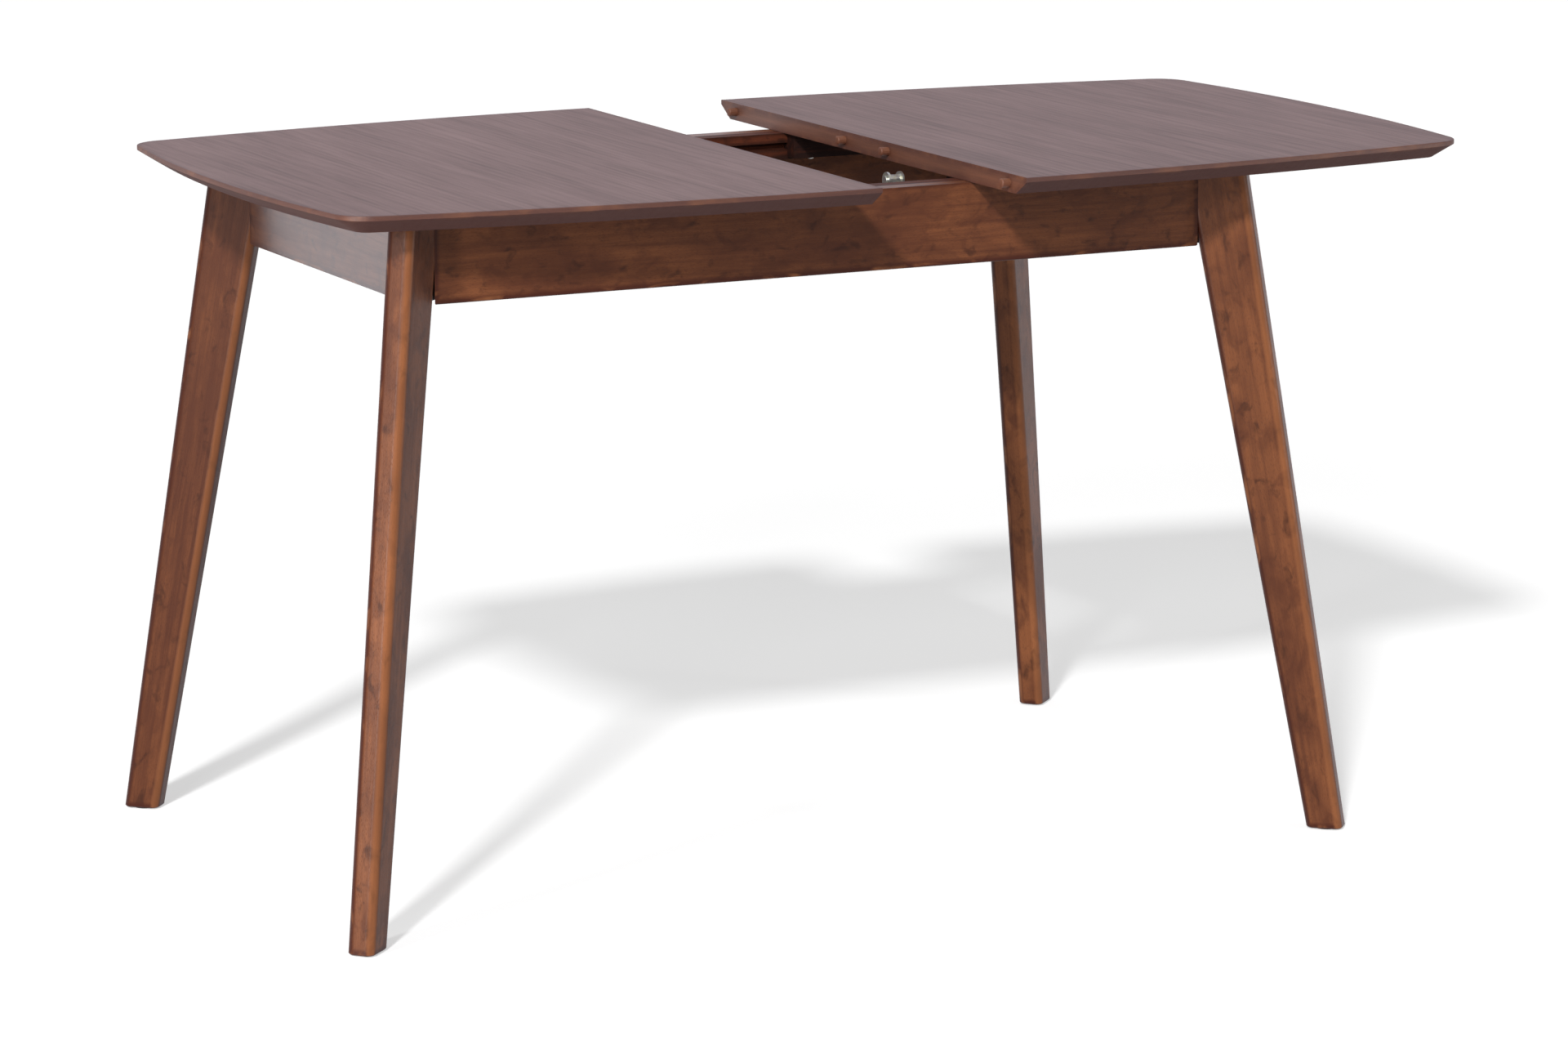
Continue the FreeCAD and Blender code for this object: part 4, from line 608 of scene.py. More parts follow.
def open_pores(tree, place):
    """Short dark dashes that lie with the grain, 1 in a pore and 0 beside it."""
    cells = add_node(tree, "ShaderNodeTexVoronoi", voronoi_dimensions="3D", feature="F1")
    feed(tree, cells.inputs["Vector"], drawn_out(tree, place, PORE_SIZE))
    cells.inputs["Scale"].default_value = 1
    return rescale(tree, cells.outputs["Distance"], *PORE_RIM, 1.0, 0.0)


def board(tree, place, wood, ring_gap, ring_share=RING_SHARE, pore_share=PORE_SHARE, lean=0.0):
    """The colour, relief and tone of one board: growth rings that show in some of its streaks,
    patches, fibres and pores, in the colours of light wood, dark wood and pores.

    A board that leans by more than nothing is darker than its neighbours.
    """
    light, dark, pore = wood
    rings = growth_rings(tree, place, ring_gap)
    patches, streaks, fibres = (clouds(tree, place, *layer) for layer in FIGURE)
    pores = open_pores(tree, place)
    shown = rescale(tree, streaks, *RINGED_STREAKS)
    tone = maths(tree, "MULTIPLY", maths(tree, "MULTIPLY", rings, shown), ring_share)
    for layer, share in zip((patches, streaks, fibres), FIGURE_SHARES):
        tone = maths(tree, "MULTIPLY_ADD", maths(tree, "SUBTRACT", layer, 0.5), share * 2, tone)
    tone = rescale(tree, tone, -TONE_REACH - lean, TONE_REACH + ring_share - lean)
    colour = lay_over(tree, pores, pore_share, blend_colours(tree, tone, light, dark), pore)
    holes = maths(tree, "MULTIPLY", pores, -PORE_DEPTH_SHARE)
    relief = maths(tree, "MULTIPLY_ADD", fibres, FIBRE_HEIGHT_SHARE, holes)
    return colour, relief, tone


def edge_mask(tree, radius):
    """1 on an edge and 0 on a flat face: where the normal of a rounded copy leaves the face's."""
    rounded = add_node(tree, "ShaderNodeBevel", samples=EDGE_RAYS)
    rounded.inputs["Radius"].default_value = radius
    face = add_node(tree, "ShaderNodeNewGeometry")
    same = vector_maths(
        tree, "DOT_PRODUCT", rounded.outputs["Normal"], face.outputs["True Normal"], "Value"
    )
    return rescale(tree, same, *EDGE_COSINES)


def rounded_edges(tree):
    """Where a leg that stands at 45 degrees is rounded: 1 on its outer long edges and 0 on its
    faces, then 1 on its front and back long edges and 0 on its faces.

    Its faces look between the table's own two directions, and its long edges along one of them.
    """
    sideways, forwards, _ = facing(tree)
    sideways = maths(tree, "ABSOLUTE", sideways)
    forwards = maths(tree, "ABSOLUTE", forwards)
    apart = maths(tree, "SUBTRACT", sideways, forwards)
    start, full = ROUNDING_TURN
    return rescale(tree, apart, start, full), rescale(tree, apart, -start, -full)


def darker_lowest_band(tree, node, place):
    """1 along the lowest few millimetres of a piece, up to an uneven line, and 0 above them."""
    low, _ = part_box(node)
    height = add_node(tree, "ShaderNodeSeparateXYZ")
    feed(tree, height.inputs["Vector"], own_place(tree))
    waves = clouds(tree, place, LOWEST_BAND_WAVES)
    uneven = maths(tree, "MULTIPLY_ADD", waves, LOWEST_BAND_SWAY, height.outputs["Z"])
    full, end = LOWEST_BAND_HEIGHTS
    return rescale(tree, uneven, low.z + full, low.z + end, 1, 0)


def add_relief(tree, shader, height, depth, strength):
    """Bump of this depth in metres on the shader's normal."""
    bump = add_node(tree, "ShaderNodeBump")
    bump.inputs["Strength"].default_value = strength
    bump.inputs["Distance"].default_value = depth
    feed(tree, bump.inputs["Height"], height)
    feed(tree, shader.inputs["Normal"], bump.outputs["Normal"])


def gather_stain(tree, place, colour, finish):
    """Uneven stain: broad blotches, smaller mottling, and a few dark flecks in the figure."""
    for size, detail, distortion, reach, share, tone in STAIN_MARKS:
        marks = clouds(tree, place, size, detail, distortion)
        shown = rescale(tree, marks, *reach, 0, share)
        colour = blend_colours(tree, shown, colour, getattr(finish, tone))
    return colour


def varied_gloss(tree, tone, finish, change):
    """Roughness that changes by the first amount on the lightest wood, and by the second on the
    darkest."""
    lightest, darkest = change
    return rescale(tree, tone, 0, 1, finish.roughness + lightest, finish.roughness + darkest)


def make_timber(name, node, finish, grain, seed, shine, coat=0, wear=RUBBED_SHARE, lean=0):
    """Stained solid wood: stain gathers along its edges and is rubbed thin on the very edge. The
    front and back long edges of a leg take the worn colour as a painted highlight.
    """
    material, tree, shader = new_material(name, finish.roughness, coat, shine=shine)
    place = grain_place(tree, node, grain, seed, SOLID_HEART)
    wood = (finish.light, finish.dark, finish.pore)
    colour, relief, tone = board(tree, place, wood, finish.ring_gap, lean=lean)
    colour = gather_stain(tree, place, colour, finish)
    # Darker along the edges and along the lowest few millimetres of the piece
    edges = maths(tree, "MAXIMUM", edge_mask(tree, TIMBER_EDGE), darker_lowest_band(tree, node, place))
    if node in LEGS:
        # A leg's front and back long edges lose their dark edge stain and take the worn colour as a
        # painted highlight
        outer, front = rounded_edges(tree)
        edges = maths(tree, "MAXIMUM", maths(tree, "SUBTRACT", edges, front), outer)
        colour = lay_over(tree, front, FRONT_EDGE_HIGHLIGHT_SHARE, colour, finish.worn)
    colour = lay_over(tree, edges, TIMBER_EDGE_SHARE, colour, finish.edge)
    patches = rescale(tree, clouds(tree, place, *RUBBED_PATCHES), *RUBBED_RANGE)
    rubbed = maths(tree, "MULTIPLY", rescale(tree, edges, RUBBED_EDGE, 1), patches)
    colour = lay_over(tree, rubbed, wear, colour, finish.worn)
    feed(tree, shader.inputs["Base Color"], colour)
    feed(tree, shader.inputs["Roughness"], varied_gloss(tree, tone, finish, TIMBER_GLOSS))
    add_relief(tree, shader, relief, *TIMBER_RELIEF)
    return material


def make_top_skin(name, node, finish, seed, wear_colour, lean):
    """Veneer on the upper face, solid lipping on the edges and backing veneer below.

    The piece's own normal says which skin a face has, which way the lipping runs, and where the
    downward bevel is painted darker as shade.
    """
    material, tree, shader = new_material(name, finish.roughness)
    across = grain_place(tree, node, CROSSWISE, seed, VENEER_HEART)
    along = grain_place(tree, node, LENGTHWISE, seed + 1, LIPPING_HEART)
    wood = (finish.light, finish.dark, finish.pore)
    veneer, relief, tone = board(
        tree, across, wood, finish.ring_gap, VENEER_RING_SHARE, VENEER_PORE_SHARE, lean
    )
    wood = (finish.band_light, finish.band_dark, finish.pore)
    end_band, _, _ = board(tree, across, wood, LIPPING_RING_GAP, lean=END_LIPPING_LEAN)
    side_band, _, _ = board(tree, along, wood, LIPPING_RING_GAP, lean=SIDE_LIPPING_LEAN)
    sideways, _, up = facing(tree)
    endways = rescale(tree, maths(tree, "ABSOLUTE", sideways), *END_FACE)
    band = blend_colours(tree, endways, side_band, end_band)
    edges = edge_mask(tree, TOP_EDGE)
    patches = clouds(tree, along, *TOP_RUBBED_PATCHES)
    patches = rescale(tree, patches, *TOP_RUBBED_RANGE, 0, TOP_RUBBED_SHARE)
    # The downward bevel is painted darker as shade
    shaded = rescale(tree, up, *BEVELLED_FACE)
    band = lay_over(tree, shaded, BEVEL_SHADE_SHARE, band, finish.bevel)
    colour = blend_colours(tree, rescale(tree, up, *VENEERED_FACE), band, veneer)
    colour = lay_over(tree, edges, TOP_EDGE_SHARE, colour, finish.bevel)
    colour = lay_over(tree, rescale(tree, edges, TOP_RUBBED_EDGE, 1), patches, colour, wear_colour)
    backing = blend_colours(tree, tone, finish.under, finish.pore)
    colour = blend_colours(tree, rescale(tree, up, *UNDER_FACE), colour, backing)
    feed(tree, shader.inputs["Base Color"], colour)
    gloss = varied_gloss(tree, tone, finish, VENEER_GLOSS)
    gloss = maths(tree, "MULTIPLY_ADD", shaded, BEVEL_GLOSS, gloss, limited=True)
    feed(tree, shader.inputs["Roughness"], gloss)
    add_relief(tree, shader, relief, *VENEER_RELIEF)
    return material


def make_metal(name, bright, hazed, roughness):
    """Metal with a patchy haze, worn bright on its edges, and fine tumbling marks."""
    material, tree, shader = new_material(name, roughness, metallic=1)
    place = own_place(tree)
    haze = rescale(tree, clouds(tree, place, *HAZE_PATCHES), *HAZE_RANGE)
    colour = blend_colours(tree, haze, bright, hazed)
    colour = blend_colours(tree, edge_mask(tree, METAL_EDGE), colour, bright)
    feed(tree, shader.inputs["Base Color"], colour)
    gloss = rescale(tree, haze, 0, 1, roughness, roughness + HAZE_ROUGHNESS)
    feed(tree, shader.inputs["Roughness"], gloss)
    add_relief(tree, shader, clouds(tree, place, TUMBLING_MARKS), *TUMBLING_RELIEF)
    return material


def make_nylon(name, colour, scuffed):
    """Moulded nylon with a fine spark-eroded skin, scuffed grey."""
    material, tree, shader = new_material(name, NYLON_ROUGHNESS[0])
    place = own_place(tree)
    scuffs = rescale(tree, clouds(tree, place, *SCUFFS), *SCUFF_RANGE, 0, SCUFF_SHARE)
    feed(tree, shader.inputs["Base Color"], blend_colours(tree, scuffs, colour, scuffed))
    gloss = rescale(tree, scuffs, 0, SCUFF_SHARE, *NYLON_ROUGHNESS)
    feed(tree, shader.inputs["Roughness"], gloss)
    add_relief(tree, shader, clouds(tree, place, ERODED_SKIN), *ERODED_RELIEF)
    return material


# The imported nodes


def dress(node, material):
    """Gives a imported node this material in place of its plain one."""
    for slot in frame["nodes"][node].material_slots:
        slot.link = "OBJECT"
        slot.material = material


def ease_edges(node, width):
    """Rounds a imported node's sharp edges: weld its triangles, join flat ones, then bevel."""
    modifiers = frame["nodes"][node].modifiers
    weld = modifiers.new("Weld", "WELD")
    weld.merge_threshold = WELD_DISTANCE
    flat = modifiers.new("Join flat faces", "DECIMATE")
    flat.decimate_type = "DISSOLVE"
    flat.angle_limit = FLAT_ENOUGH
    rounding = modifiers.new("Eased edges", "BEVEL")
    rounding.limit_method = "ANGLE"
    rounding.angle_limit = SHARPEST_SMOOTH_EDGE
    rounding.width = width
    rounding.segments = ROUND_STEPS
    shading = modifiers.new("Even shading", "WEIGHTED_NORMAL")
    shading.weight = LARGE_FACE_WEIGHT


def leg_line(node):
    """The direction of a leg's grain: from the middle of its lowest points to its highest."""
    points = np.array([point.co for point in frame["nodes"][node].data.vertices])
    heights = points[:, 2]
    near = 0.002
    low = points[heights < heights.min() + near].mean(axis=0)
    high = points[heights > heights.max() - near].mean(axis=0)
    return tuple(float(part) for part in high - low)


# The turned and threaded pieces, whose surfaces are worked out on grids of points

# Finding how a solid lies: decimals of its axis, and how near its widest reach its head is
AXIS_DECIMALS = 2
HEAD_REACH_SHARE = 0.9

# Head of a screw: rows of points over it, where they start, how far its rim lies below its
# crown, how slowly its recess sinks, then the rows round its rim
HEAD_ROWS = 14
CROWN_SHARE = 0.08
RIM_FALL_SHARE = 0.45
RECESS_SLOPE_SHARE = 0.1
RIM_RADIUS_SHARES = (1, 0.97, 0.6)
RIM_HEIGHT_SHARES = (0.8, 1, 1)

# Threads: rows of points and half the width of the ridge, both for one turn, then the length of
# a screw's point in radii and the width at its very end
SCREW_TURN_ROWS = 6
SCREW_RIDGE_SHARE = 0.35
BOLT_TURN_ROWS = 5
BOLT_RIDGE_SHARE = 0.5
POINT_LENGTH = 4
POINT_SHARE = 0.04

# Ends of bolts and dowels as shares of their radius, the length of a dowel's rounding in
# chamfers, rows of points along a dowel, and points round one flute
BOLT_END_SHARE = 0.78
DOWEL_END_SHARE = 0.72
DOWEL_ROUND_LENGTH = 2
DOWEL_ROWS = 36
FLUTE_POINTS = 6

# Nut: its bearing faces as a share of the flats, its countersinks in bores and in heights, and
# the slope of its chamfer
NUT_FACE_SHARE = 0.97
NUT_SINK_WIDTH = 1.12
NUT_SINK_SHARE = 0.12
NUT_CHAMFER = math.radians(30)

# Washer: the rounding of its edge and its burr in thicknesses, where the middle of the rounding
# lies, and the smaller rounding of its bore
WASHER_ROUND_SHARE = 0.35
WASHER_BURR_SHARE = 0.1
WASHER_MIDDLE_SHARES = (0.4, 0.3)
WASHER_BORE_SHARE = 0.5


def loose_parts(node):
    """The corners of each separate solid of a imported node, found by passing the lowest number
    of a corner on along its edges until nothing changes."""
    mesh = frame["nodes"][node].data
    points = np.array([corner.co for corner in mesh.vertices])
    _, same = np.unique(np.round(points / WELD_DISTANCE), axis=0, return_inverse=True)
    same = same.ravel()
    edges = same[np.array([edge.vertices for edge in mesh.edges])]
    group = np.arange(same.max() + 1)
    changed = True
    while changed:
        lowest = group.copy()
        np.minimum.at(lowest, edges[:, 0], group[edges[:, 1]])
        np.minimum.at(lowest, edges[:, 1], group[edges[:, 0]])
        lowest = lowest[lowest]
        changed = not np.array_equal(lowest, group)
        group = lowest
    names = group[same]
    return [points[names == name] for name in np.unique(names)]


class Lie:
    """How a solid lies: its start, its own three axes, its length and its radii.

    Its axis is the one along which its corners are most spread, or least on a flat part. It runs
    from the widest end, and the first of the other two axes points at the farthest corner.
    """

    def __init__(self, points, flat=False):
        middle = (points.min(axis=0) + points.max(axis=0)) / 2
        spread = np.linalg.svd(points - points.mean(axis=0), full_matrices=False)[2]
        axis = np.round(spread[2 if flat else 0], AXIS_DECIMALS)
        axis /= np.linalg.norm(axis)
        along = (points - middle) @ axis
        out = points - middle - np.outer(along, axis)
        reach = np.linalg.norm(out, axis=1)
        farthest = int(reach.argmax())
        if along[farthest] > 0 and not flat:
            axis, along = -axis, -along
        side = out[farthest] / reach[farthest]
        self.turn = np.array([side, np.cross(axis, side), axis])
        self.length = float(np.ptp(along))
        self.start = middle - axis * self.length / 2
        self.radius = float(reach.max())
        wide = reach > self.radius * HEAD_REACH_SHARE
        self.head = float(np.ptp(along[wide]))
        self.core = float(reach[~wide].max()) if (~wide).any() else self.radius
        self.bore = float(reach.min())

    def place(self, rows):
        """Rows of points from the solid's own axes into the table's frame."""
        return self.start + rows @ self.turn


def turned(radius, height, around):
    """Rows of points round an axis: each row lies at its own height, and each point at its
    own distance from the axis. Both may change with the angle."""
    angle = round_angles(around)
    radius, height, angle = np.broadcast_arrays(radius, height, angle)
    return np.stack([radius * np.cos(angle), radius * np.sin(angle), height], axis=-1)


def round_angles(around):
    """One row of angles that goes once round."""
    return np.linspace(0, 2 * math.pi, around, endpoint=False)[None, :]


def skin(rows, ring=False):
    """Corners and faces over rows of points that run up an axis.

    A ring's last row joins its first. Otherwise each end is closed by a fan of faces to a pole
    in the middle of its row.
    """
    count, around, _ = rows.shape
    number = np.arange(count * around).reshape(count, around)
    if ring:
        number = np.vstack([number, number[:1]])
    beside = np.roll(number, -1, axis=1)
    corners = (number[:-1], beside[:-1], beside[1:], number[1:])
    faces = np.stack(corners, axis=-1).reshape(-1, 4).tolist()
    points = rows.reshape(-1, 3)
    if not ring:
        low, high = len(points), len(points) + 1
        points = np.vstack([points, rows[0].mean(axis=0), rows[-1].mean(axis=0)])
        first, last = number[0], number[-1]
        faces += [[low, b, a] for a, b in zip(first.tolist(), beside[0].tolist())]
        faces += [[high, a, b] for a, b in zip(last.tolist(), beside[-1].tolist())]
    return points, faces


def screw_rows(lie, sizes, around=24):
    """A cross recessed wood screw from the top of its head to its point.

    The head falls with the fourth power of the distance from its middle, less a recess where
    both the distance across an arm and the distance along it are small. The thread stands out
    where the height, less one pitch for each turn, comes near a whole number of pitches, and
    everything narrows to a point over the last few radii.
    """
    out = np.linspace(CROWN_SHARE, 1, HEAD_ROWS)[:, None]
    angle = round_angles(around)
    across = out * np.abs(np.cos(angle))
    aside = out * np.abs(np.sin(angle))
    in_arm = sunk(sizes.recess_arm_share, np.minimum(across, aside))
    in_reach = sunk(sizes.recess_reach_share, np.maximum(across, aside))
    dome = RIM_FALL_SHARE * out ** 4 + sizes.recess_depth_share * in_arm * in_reach
    top = turned(out * lie.radius, dome * lie.head, around)
    rim_radius = np.array(RIM_RADIUS_SHARES)[:, None] * lie.radius
    rim_height = np.array(RIM_HEIGHT_SHARES)[:, None] * lie.head
    rim = turned(rim_radius, rim_height, around)
    steps = int((lie.length - lie.head) / sizes.screw_pitch * SCREW_TURN_ROWS)
    height = np.linspace(lie.head, lie.length, steps)[:, None]
    ridge = thread_ridge(height, angle, sizes.screw_pitch, SCREW_RIDGE_SHARE)
    core = sizes.screw_core_share + (1 - sizes.screw_core_share) * ridge
    narrow = np.clip((lie.length - height) / (POINT_LENGTH * lie.core) + POINT_SHARE, 0, 1)
    shank = turned(core * narrow * lie.core, height, around)
    return np.concatenate([top, rim, shank])


def sunk(limit, distance):
    """1 where a distance is under a limit and 0 where it is over, with a slope at the limit."""
    return np.clip((limit - distance) / RECESS_SLOPE_SHARE + 0.5, 0, 1)


def thread_ridge(height, angle, pitch, half_width):
    """1 on the crest of a thread and 0 in its root: the height, less a pitch for each turn, is
    compared with the nearest whole number of pitches."""
    turns = height / pitch - angle / (2 * math.pi)
    apart = np.abs(turns - np.round(turns))
    return np.clip(1 - apart / half_width, 0, 1)


def bolt_rows(lie, sizes, around=20):
    """A threaded rod with a chamfer at each end, threaded as a screw is."""
    steps = int(lie.length / sizes.bolt_pitch * BOLT_TURN_ROWS)
    height = np.linspace(0, lie.length, steps)[:, None]
    ridge = thread_ridge(height, round_angles(around), sizes.bolt_pitch, BOLT_RIDGE_SHARE)
    core = sizes.bolt_core_share + (1 - sizes.bolt_core_share) * ridge
    end = np.minimum(height, lie.length - height)
    limit = BOLT_END_SHARE + (1 - BOLT_END_SHARE) * np.clip(end / sizes.chamfer, 0, 1)
    return turned(np.minimum(core, limit) * lie.radius, height, around)


def dowel_rows(lie, sizes):
    """A fluted dowel: between its rounded ends its radius dips where the cosine round it is
    low, and at each end it falls along a quarter circle. Its rows lie closer towards the ends."""
    around = sizes.flutes * FLUTE_POINTS
    turns = np.linspace(0, math.pi, DOWEL_ROWS)[:, None]
    height = lie.length * (1 - np.cos(turns)) / 2
    end = np.minimum(height, lie.length - height)
    near = np.clip(end / (DOWEL_ROUND_LENGTH * sizes.chamfer), 0, 1)
    rounded = DOWEL_END_SHARE + (1 - DOWEL_END_SHARE) * np.sqrt(1 - (1 - near) ** 2)
    waves = np.cos(sizes.flutes * round_angles(around))
    flute = 1 - sizes.flute_depth_share * (1 - waves) / 2 * (near == 1)
    return turned(rounded * flute * lie.radius, height, around)


def nut_rows(lie, around=48):
    """A hexagon nut: the distance to its flats, and faces that fall away towards its corners
    as the cone of a chamfer does, with a countersunk bore."""
    angle = round_angles(around)
    sixth = math.pi / 3
    flat = lie.radius * math.cos(sixth / 2)
    side = flat / np.cos((angle % sixth) - sixth / 2)
    fall = (side - flat) * math.tan(NUT_CHAMFER)
    face = flat * NUT_FACE_SHARE
    sink_width = lie.bore * NUT_SINK_WIDTH
    sink = NUT_SINK_SHARE * lie.length
    outline = (
        (side, fall),
        (side, lie.length / 2),
        (side, lie.length - fall),
        (face, lie.length),
        (sink_width, lie.length),
        (lie.bore, lie.length - sink),
        (lie.bore, lie.length / 2),
        (lie.bore, sink),
        (sink_width, 0),
        (face, 0),
    )
    return np.concatenate([turned(radius, height, around) for radius, height in outline])


def washer_rows(lie, around=48):
    """A pressed washer: its edge is rounded on the side that the punch went in, and a burr
    stands on the other."""
    thick = lie.length
    soft = WASHER_ROUND_SHARE * thick
    burr = WASHER_BURR_SHARE * thick
    bore_soft = WASHER_BORE_SHARE * soft
    inwards, downwards = WASHER_MIDDLE_SHARES
    outline = (
        (lie.radius, burr),
        (lie.radius, thick - soft),
        (lie.radius - inwards * soft, thick - downwards * soft),
        (lie.radius - soft, thick),
        (lie.bore + bore_soft, thick),
        (lie.bore, thick - bore_soft),
        (lie.bore, 0),
        (lie.radius - burr, 0),
    )
    profile = np.array(outline)
    return turned(profile[:, :1], profile[:, 1:], around)


def make_piece(name, node, shells, material):
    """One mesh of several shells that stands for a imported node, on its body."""
    points = []
    faces = []
    for shell_points, shell_faces in shells:
        start = sum(len(part) for part in points)
        points.append(shell_points)
        faces += [[corner + start for corner in face] for face in shell_faces]
    mesh = bpy.data.meshes.new(name)
    mesh.from_pydata(np.vstack(points).tolist(), [], faces)
    mesh.polygons.foreach_set("use_smooth", np.ones(len(mesh.polygons), dtype=bool))
    mesh.set_sharp_from_angle(angle=SHARPEST_SMOOTH_EDGE)
    mesh.materials.append(material)
    piece = bpy.data.objects.new(name, mesh)
    bpy.context.scene.collection.objects.link(piece)
    bodies = frame["record"]["behaviour"]["bodies"]
    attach(piece, next(body for body, nodes in bodies.items() if node in nodes))
    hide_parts(node)


# Operators


class TABLE_OT_finish_frame(Operator):
    """Stains and eases the aprons and legs"""

    bl_idname = "table.finish_frame"
    bl_label = "Finish aprons and legs"

    def execute(self, context):
        settings = context.scene.dining_table
        grains = dict(APRON_GRAIN)
        grains.update({leg: leg_line(leg) for leg in LEGS})
        for seed, (node, grain) in enumerate(grains.items()):
            at_end = node in END_APRONS
            finish = make_timber(
                "stained_" + node, node, settings.timber, grain, seed,
                shine=END_SHINE_SHARE if at_end else SIDE_SHINE_SHARE,
                coat=END_COAT_SHARE if at_end else 0,
                # The lean is partly random board tone, partly painted light and shade
                lean=BOARD_LEAN_AND_PAINTED_LIGHT[node],
            )
            dress(node, finish)
            ease_edges(node, settings.eased_edge)
        return {"FINISHED"}


class TABLE_OT_finish_top(Operator):
    """Veneers and lips the two halves of the top and the leaf"""

    bl_idname = "table.finish_top"
    bl_label = "Finish top and leaf"

    def execute(self, context):
        settings = context.scene.dining_table
        for seed, node in enumerate(TOP_PANELS + LEAF_PANELS):
            finish = make_top_skin(
                "veneered_" + node, node, settings.top, seed, settings.timber.worn,
                BOARD_LEAN_AND_PAINTED_LIGHT[node],
            )
            dress(node, finish)
            ease_edges(node, settings.inner_eased_edge)
        return {"FINISHED"}


class TABLE_OT_finish_inside(Operator):
    """Stains the rails, runners, battens and blocks"""

    bl_idname = "table.finish_inside"
    bl_label = "Finish inside"

    def execute(self, context):
        settings = context.scene.dining_table
        for seed, (node, grain) in enumerate(INNER_GRAIN.items()):
            finish = make_timber(
                "inside_" + node, node, settings.inner, grain, seed,
                shine=INNER_SHINE_SHARE, wear=INNER_RUBBED_SHARE,
                # Slide rails painted lighter as light through the gap; the rest of the inside
                # darker
                lean=SLIDE_RAIL_PAINTED_LIGHT if node in SLIDE_RAILS else INNER_LEAN,
            )
            dress(node, finish)
            ease_edges(node, settings.inner_eased_edge)
        return {"FINISHED"}


class TABLE_OT_cut_screws(Operator):
    """Puts cross recessed, threaded wood screws in the places of the plain ones"""

    bl_idname = "table.cut_screws"
    bl_label = "Cut screws"

    def execute(self, context):
        settings = context.scene.dining_table
        metal = settings.metal
        zinc = make_metal("screw_zinc", metal.zinc, metal.zinc_stain, metal.roughness)
        for node in SCREWS:
            shells = []
            for points in loose_parts(node):
                lie = Lie(points)
                shells.append(skin(lie.place(screw_rows(lie, settings.hardware))))
            make_piece("threaded_" + node, node, shells, zinc)
        return {"FINISHED"}


class TABLE_OT_cut_leg_bolts(Operator):
    """Puts threaded bolts, chamfered nuts and pressed washers behind the legs"""

    bl_idname = "table.cut_leg_bolts"
    bl_label = "Cut leg bolts"

    def execute(self, context):
        settings = context.scene.dining_table
        metal = settings.metal
        zinc = make_metal("bolt_zinc", metal.zinc, metal.zinc_stain, metal.roughness)
        rods = [Lie(points) for points in loose_parts("leg_bolts")]
        shells = [skin(rod.place(bolt_rows(rod, settings.hardware))) for rod in rods]
        make_piece("threaded_leg_bolts", "leg_bolts", shells, zinc)
        nuts = [Lie(points, flat=True) for points in loose_parts("leg_bolt_nuts")]
        shells = [skin(nut.place(nut_rows(nut)), ring=True) for nut in nuts]
        make_piece("chamfered_leg_nuts", "leg_bolt_nuts", shells, zinc)
        discs = [Lie(points, flat=True) for points in loose_parts("leg_bolt_washers")]
        shells = [skin(disc.place(washer_rows(disc)), ring=True) for disc in discs]
        make_piece("pressed_leg_washers", "leg_bolt_washers", shells, zinc)
        return {"FINISHED"}


class TABLE_OT_turn_dowels(Operator):
    """Puts fluted hardwood dowels with rounded ends in the meeting edges"""

    bl_idname = "table.turn_dowels"
    bl_label = "Turn dowels"

    def execute(self, context):
        settings = context.scene.dining_table
        for seed, node in enumerate(DOWELS):
            name = "fluted_" + node
            wood = make_timber(
                name, node, settings.dowel, LENGTHWISE, seed, shine=DOWEL_SHINE_SHARE
            )
            lies = [Lie(points) for points in loose_parts(node)]
            shells = [skin(lie.place(dowel_rows(lie, settings.hardware))) for lie in lies]
            make_piece(name, node, shells, wood)
        return {"FINISHED"}


class TABLE_OT_finish_fittings(Operator):
    """Plates the pivots, and finishes the hinges and glides"""

    bl_idname = "table.finish_fittings"
    bl_label = "Finish fittings"

    def execute(self, context):
        metal = context.scene.dining_table.metal
        zinc = make_metal("zinc_plate", metal.zinc, metal.zinc_stain, metal.roughness)
        brass = make_metal("hinge_brass", metal.brass, metal.brass_stain, metal.roughness)
        nylon = make_nylon("glide_nylon", metal.nylon, metal.scuffed)
        for node in PLATED_PARTS:
            dress(node, zinc)
        for node in HINGE_PARTS:
            dress(node, brass)
        dress("foot_glides", nylon)
        return {"FINISHED"}


class TABLE_OT_set_stage(Operator):
    """Lays the floor and sets the lamps, the room and the camera"""

    bl_idname = "table.set_stage"
    bl_label = "Set stage"

    def execute(self, context):
        stage = context.scene.dining_table.stage
        lay_floor(context.scene, stage)
        light_room(context.scene, stage)
        hang_lamps(context.scene, stage)
        place_camera(context.scene, stage)
        context.scene.view_settings.view_transform = "Standard"
        return {"FINISHED"}


# The stage


def seen_share(tree):
    """1 for rays that show a surface to the camera, straight, mirrored or through glass."""
    rays = add_node(tree, "ShaderNodeLightPath")
    total = maths(
        tree, "ADD", rays.outputs["Is Camera Ray"], rays.outputs["Is Glossy Ray"], limited=True
    )
    return maths(tree, "ADD", total, rays.outputs["Is Transmission Ray"], limited=True)


def shown_colour(tree, stage):
    """White for what is seen straight, and the room's tint for what lacquer and metal mirror."""
    rays = add_node(tree, "ShaderNodeLightPath")
    return blend_colours(tree, rays.outputs["Is Glossy Ray"], (1, 1, 1), stage.room_tint)


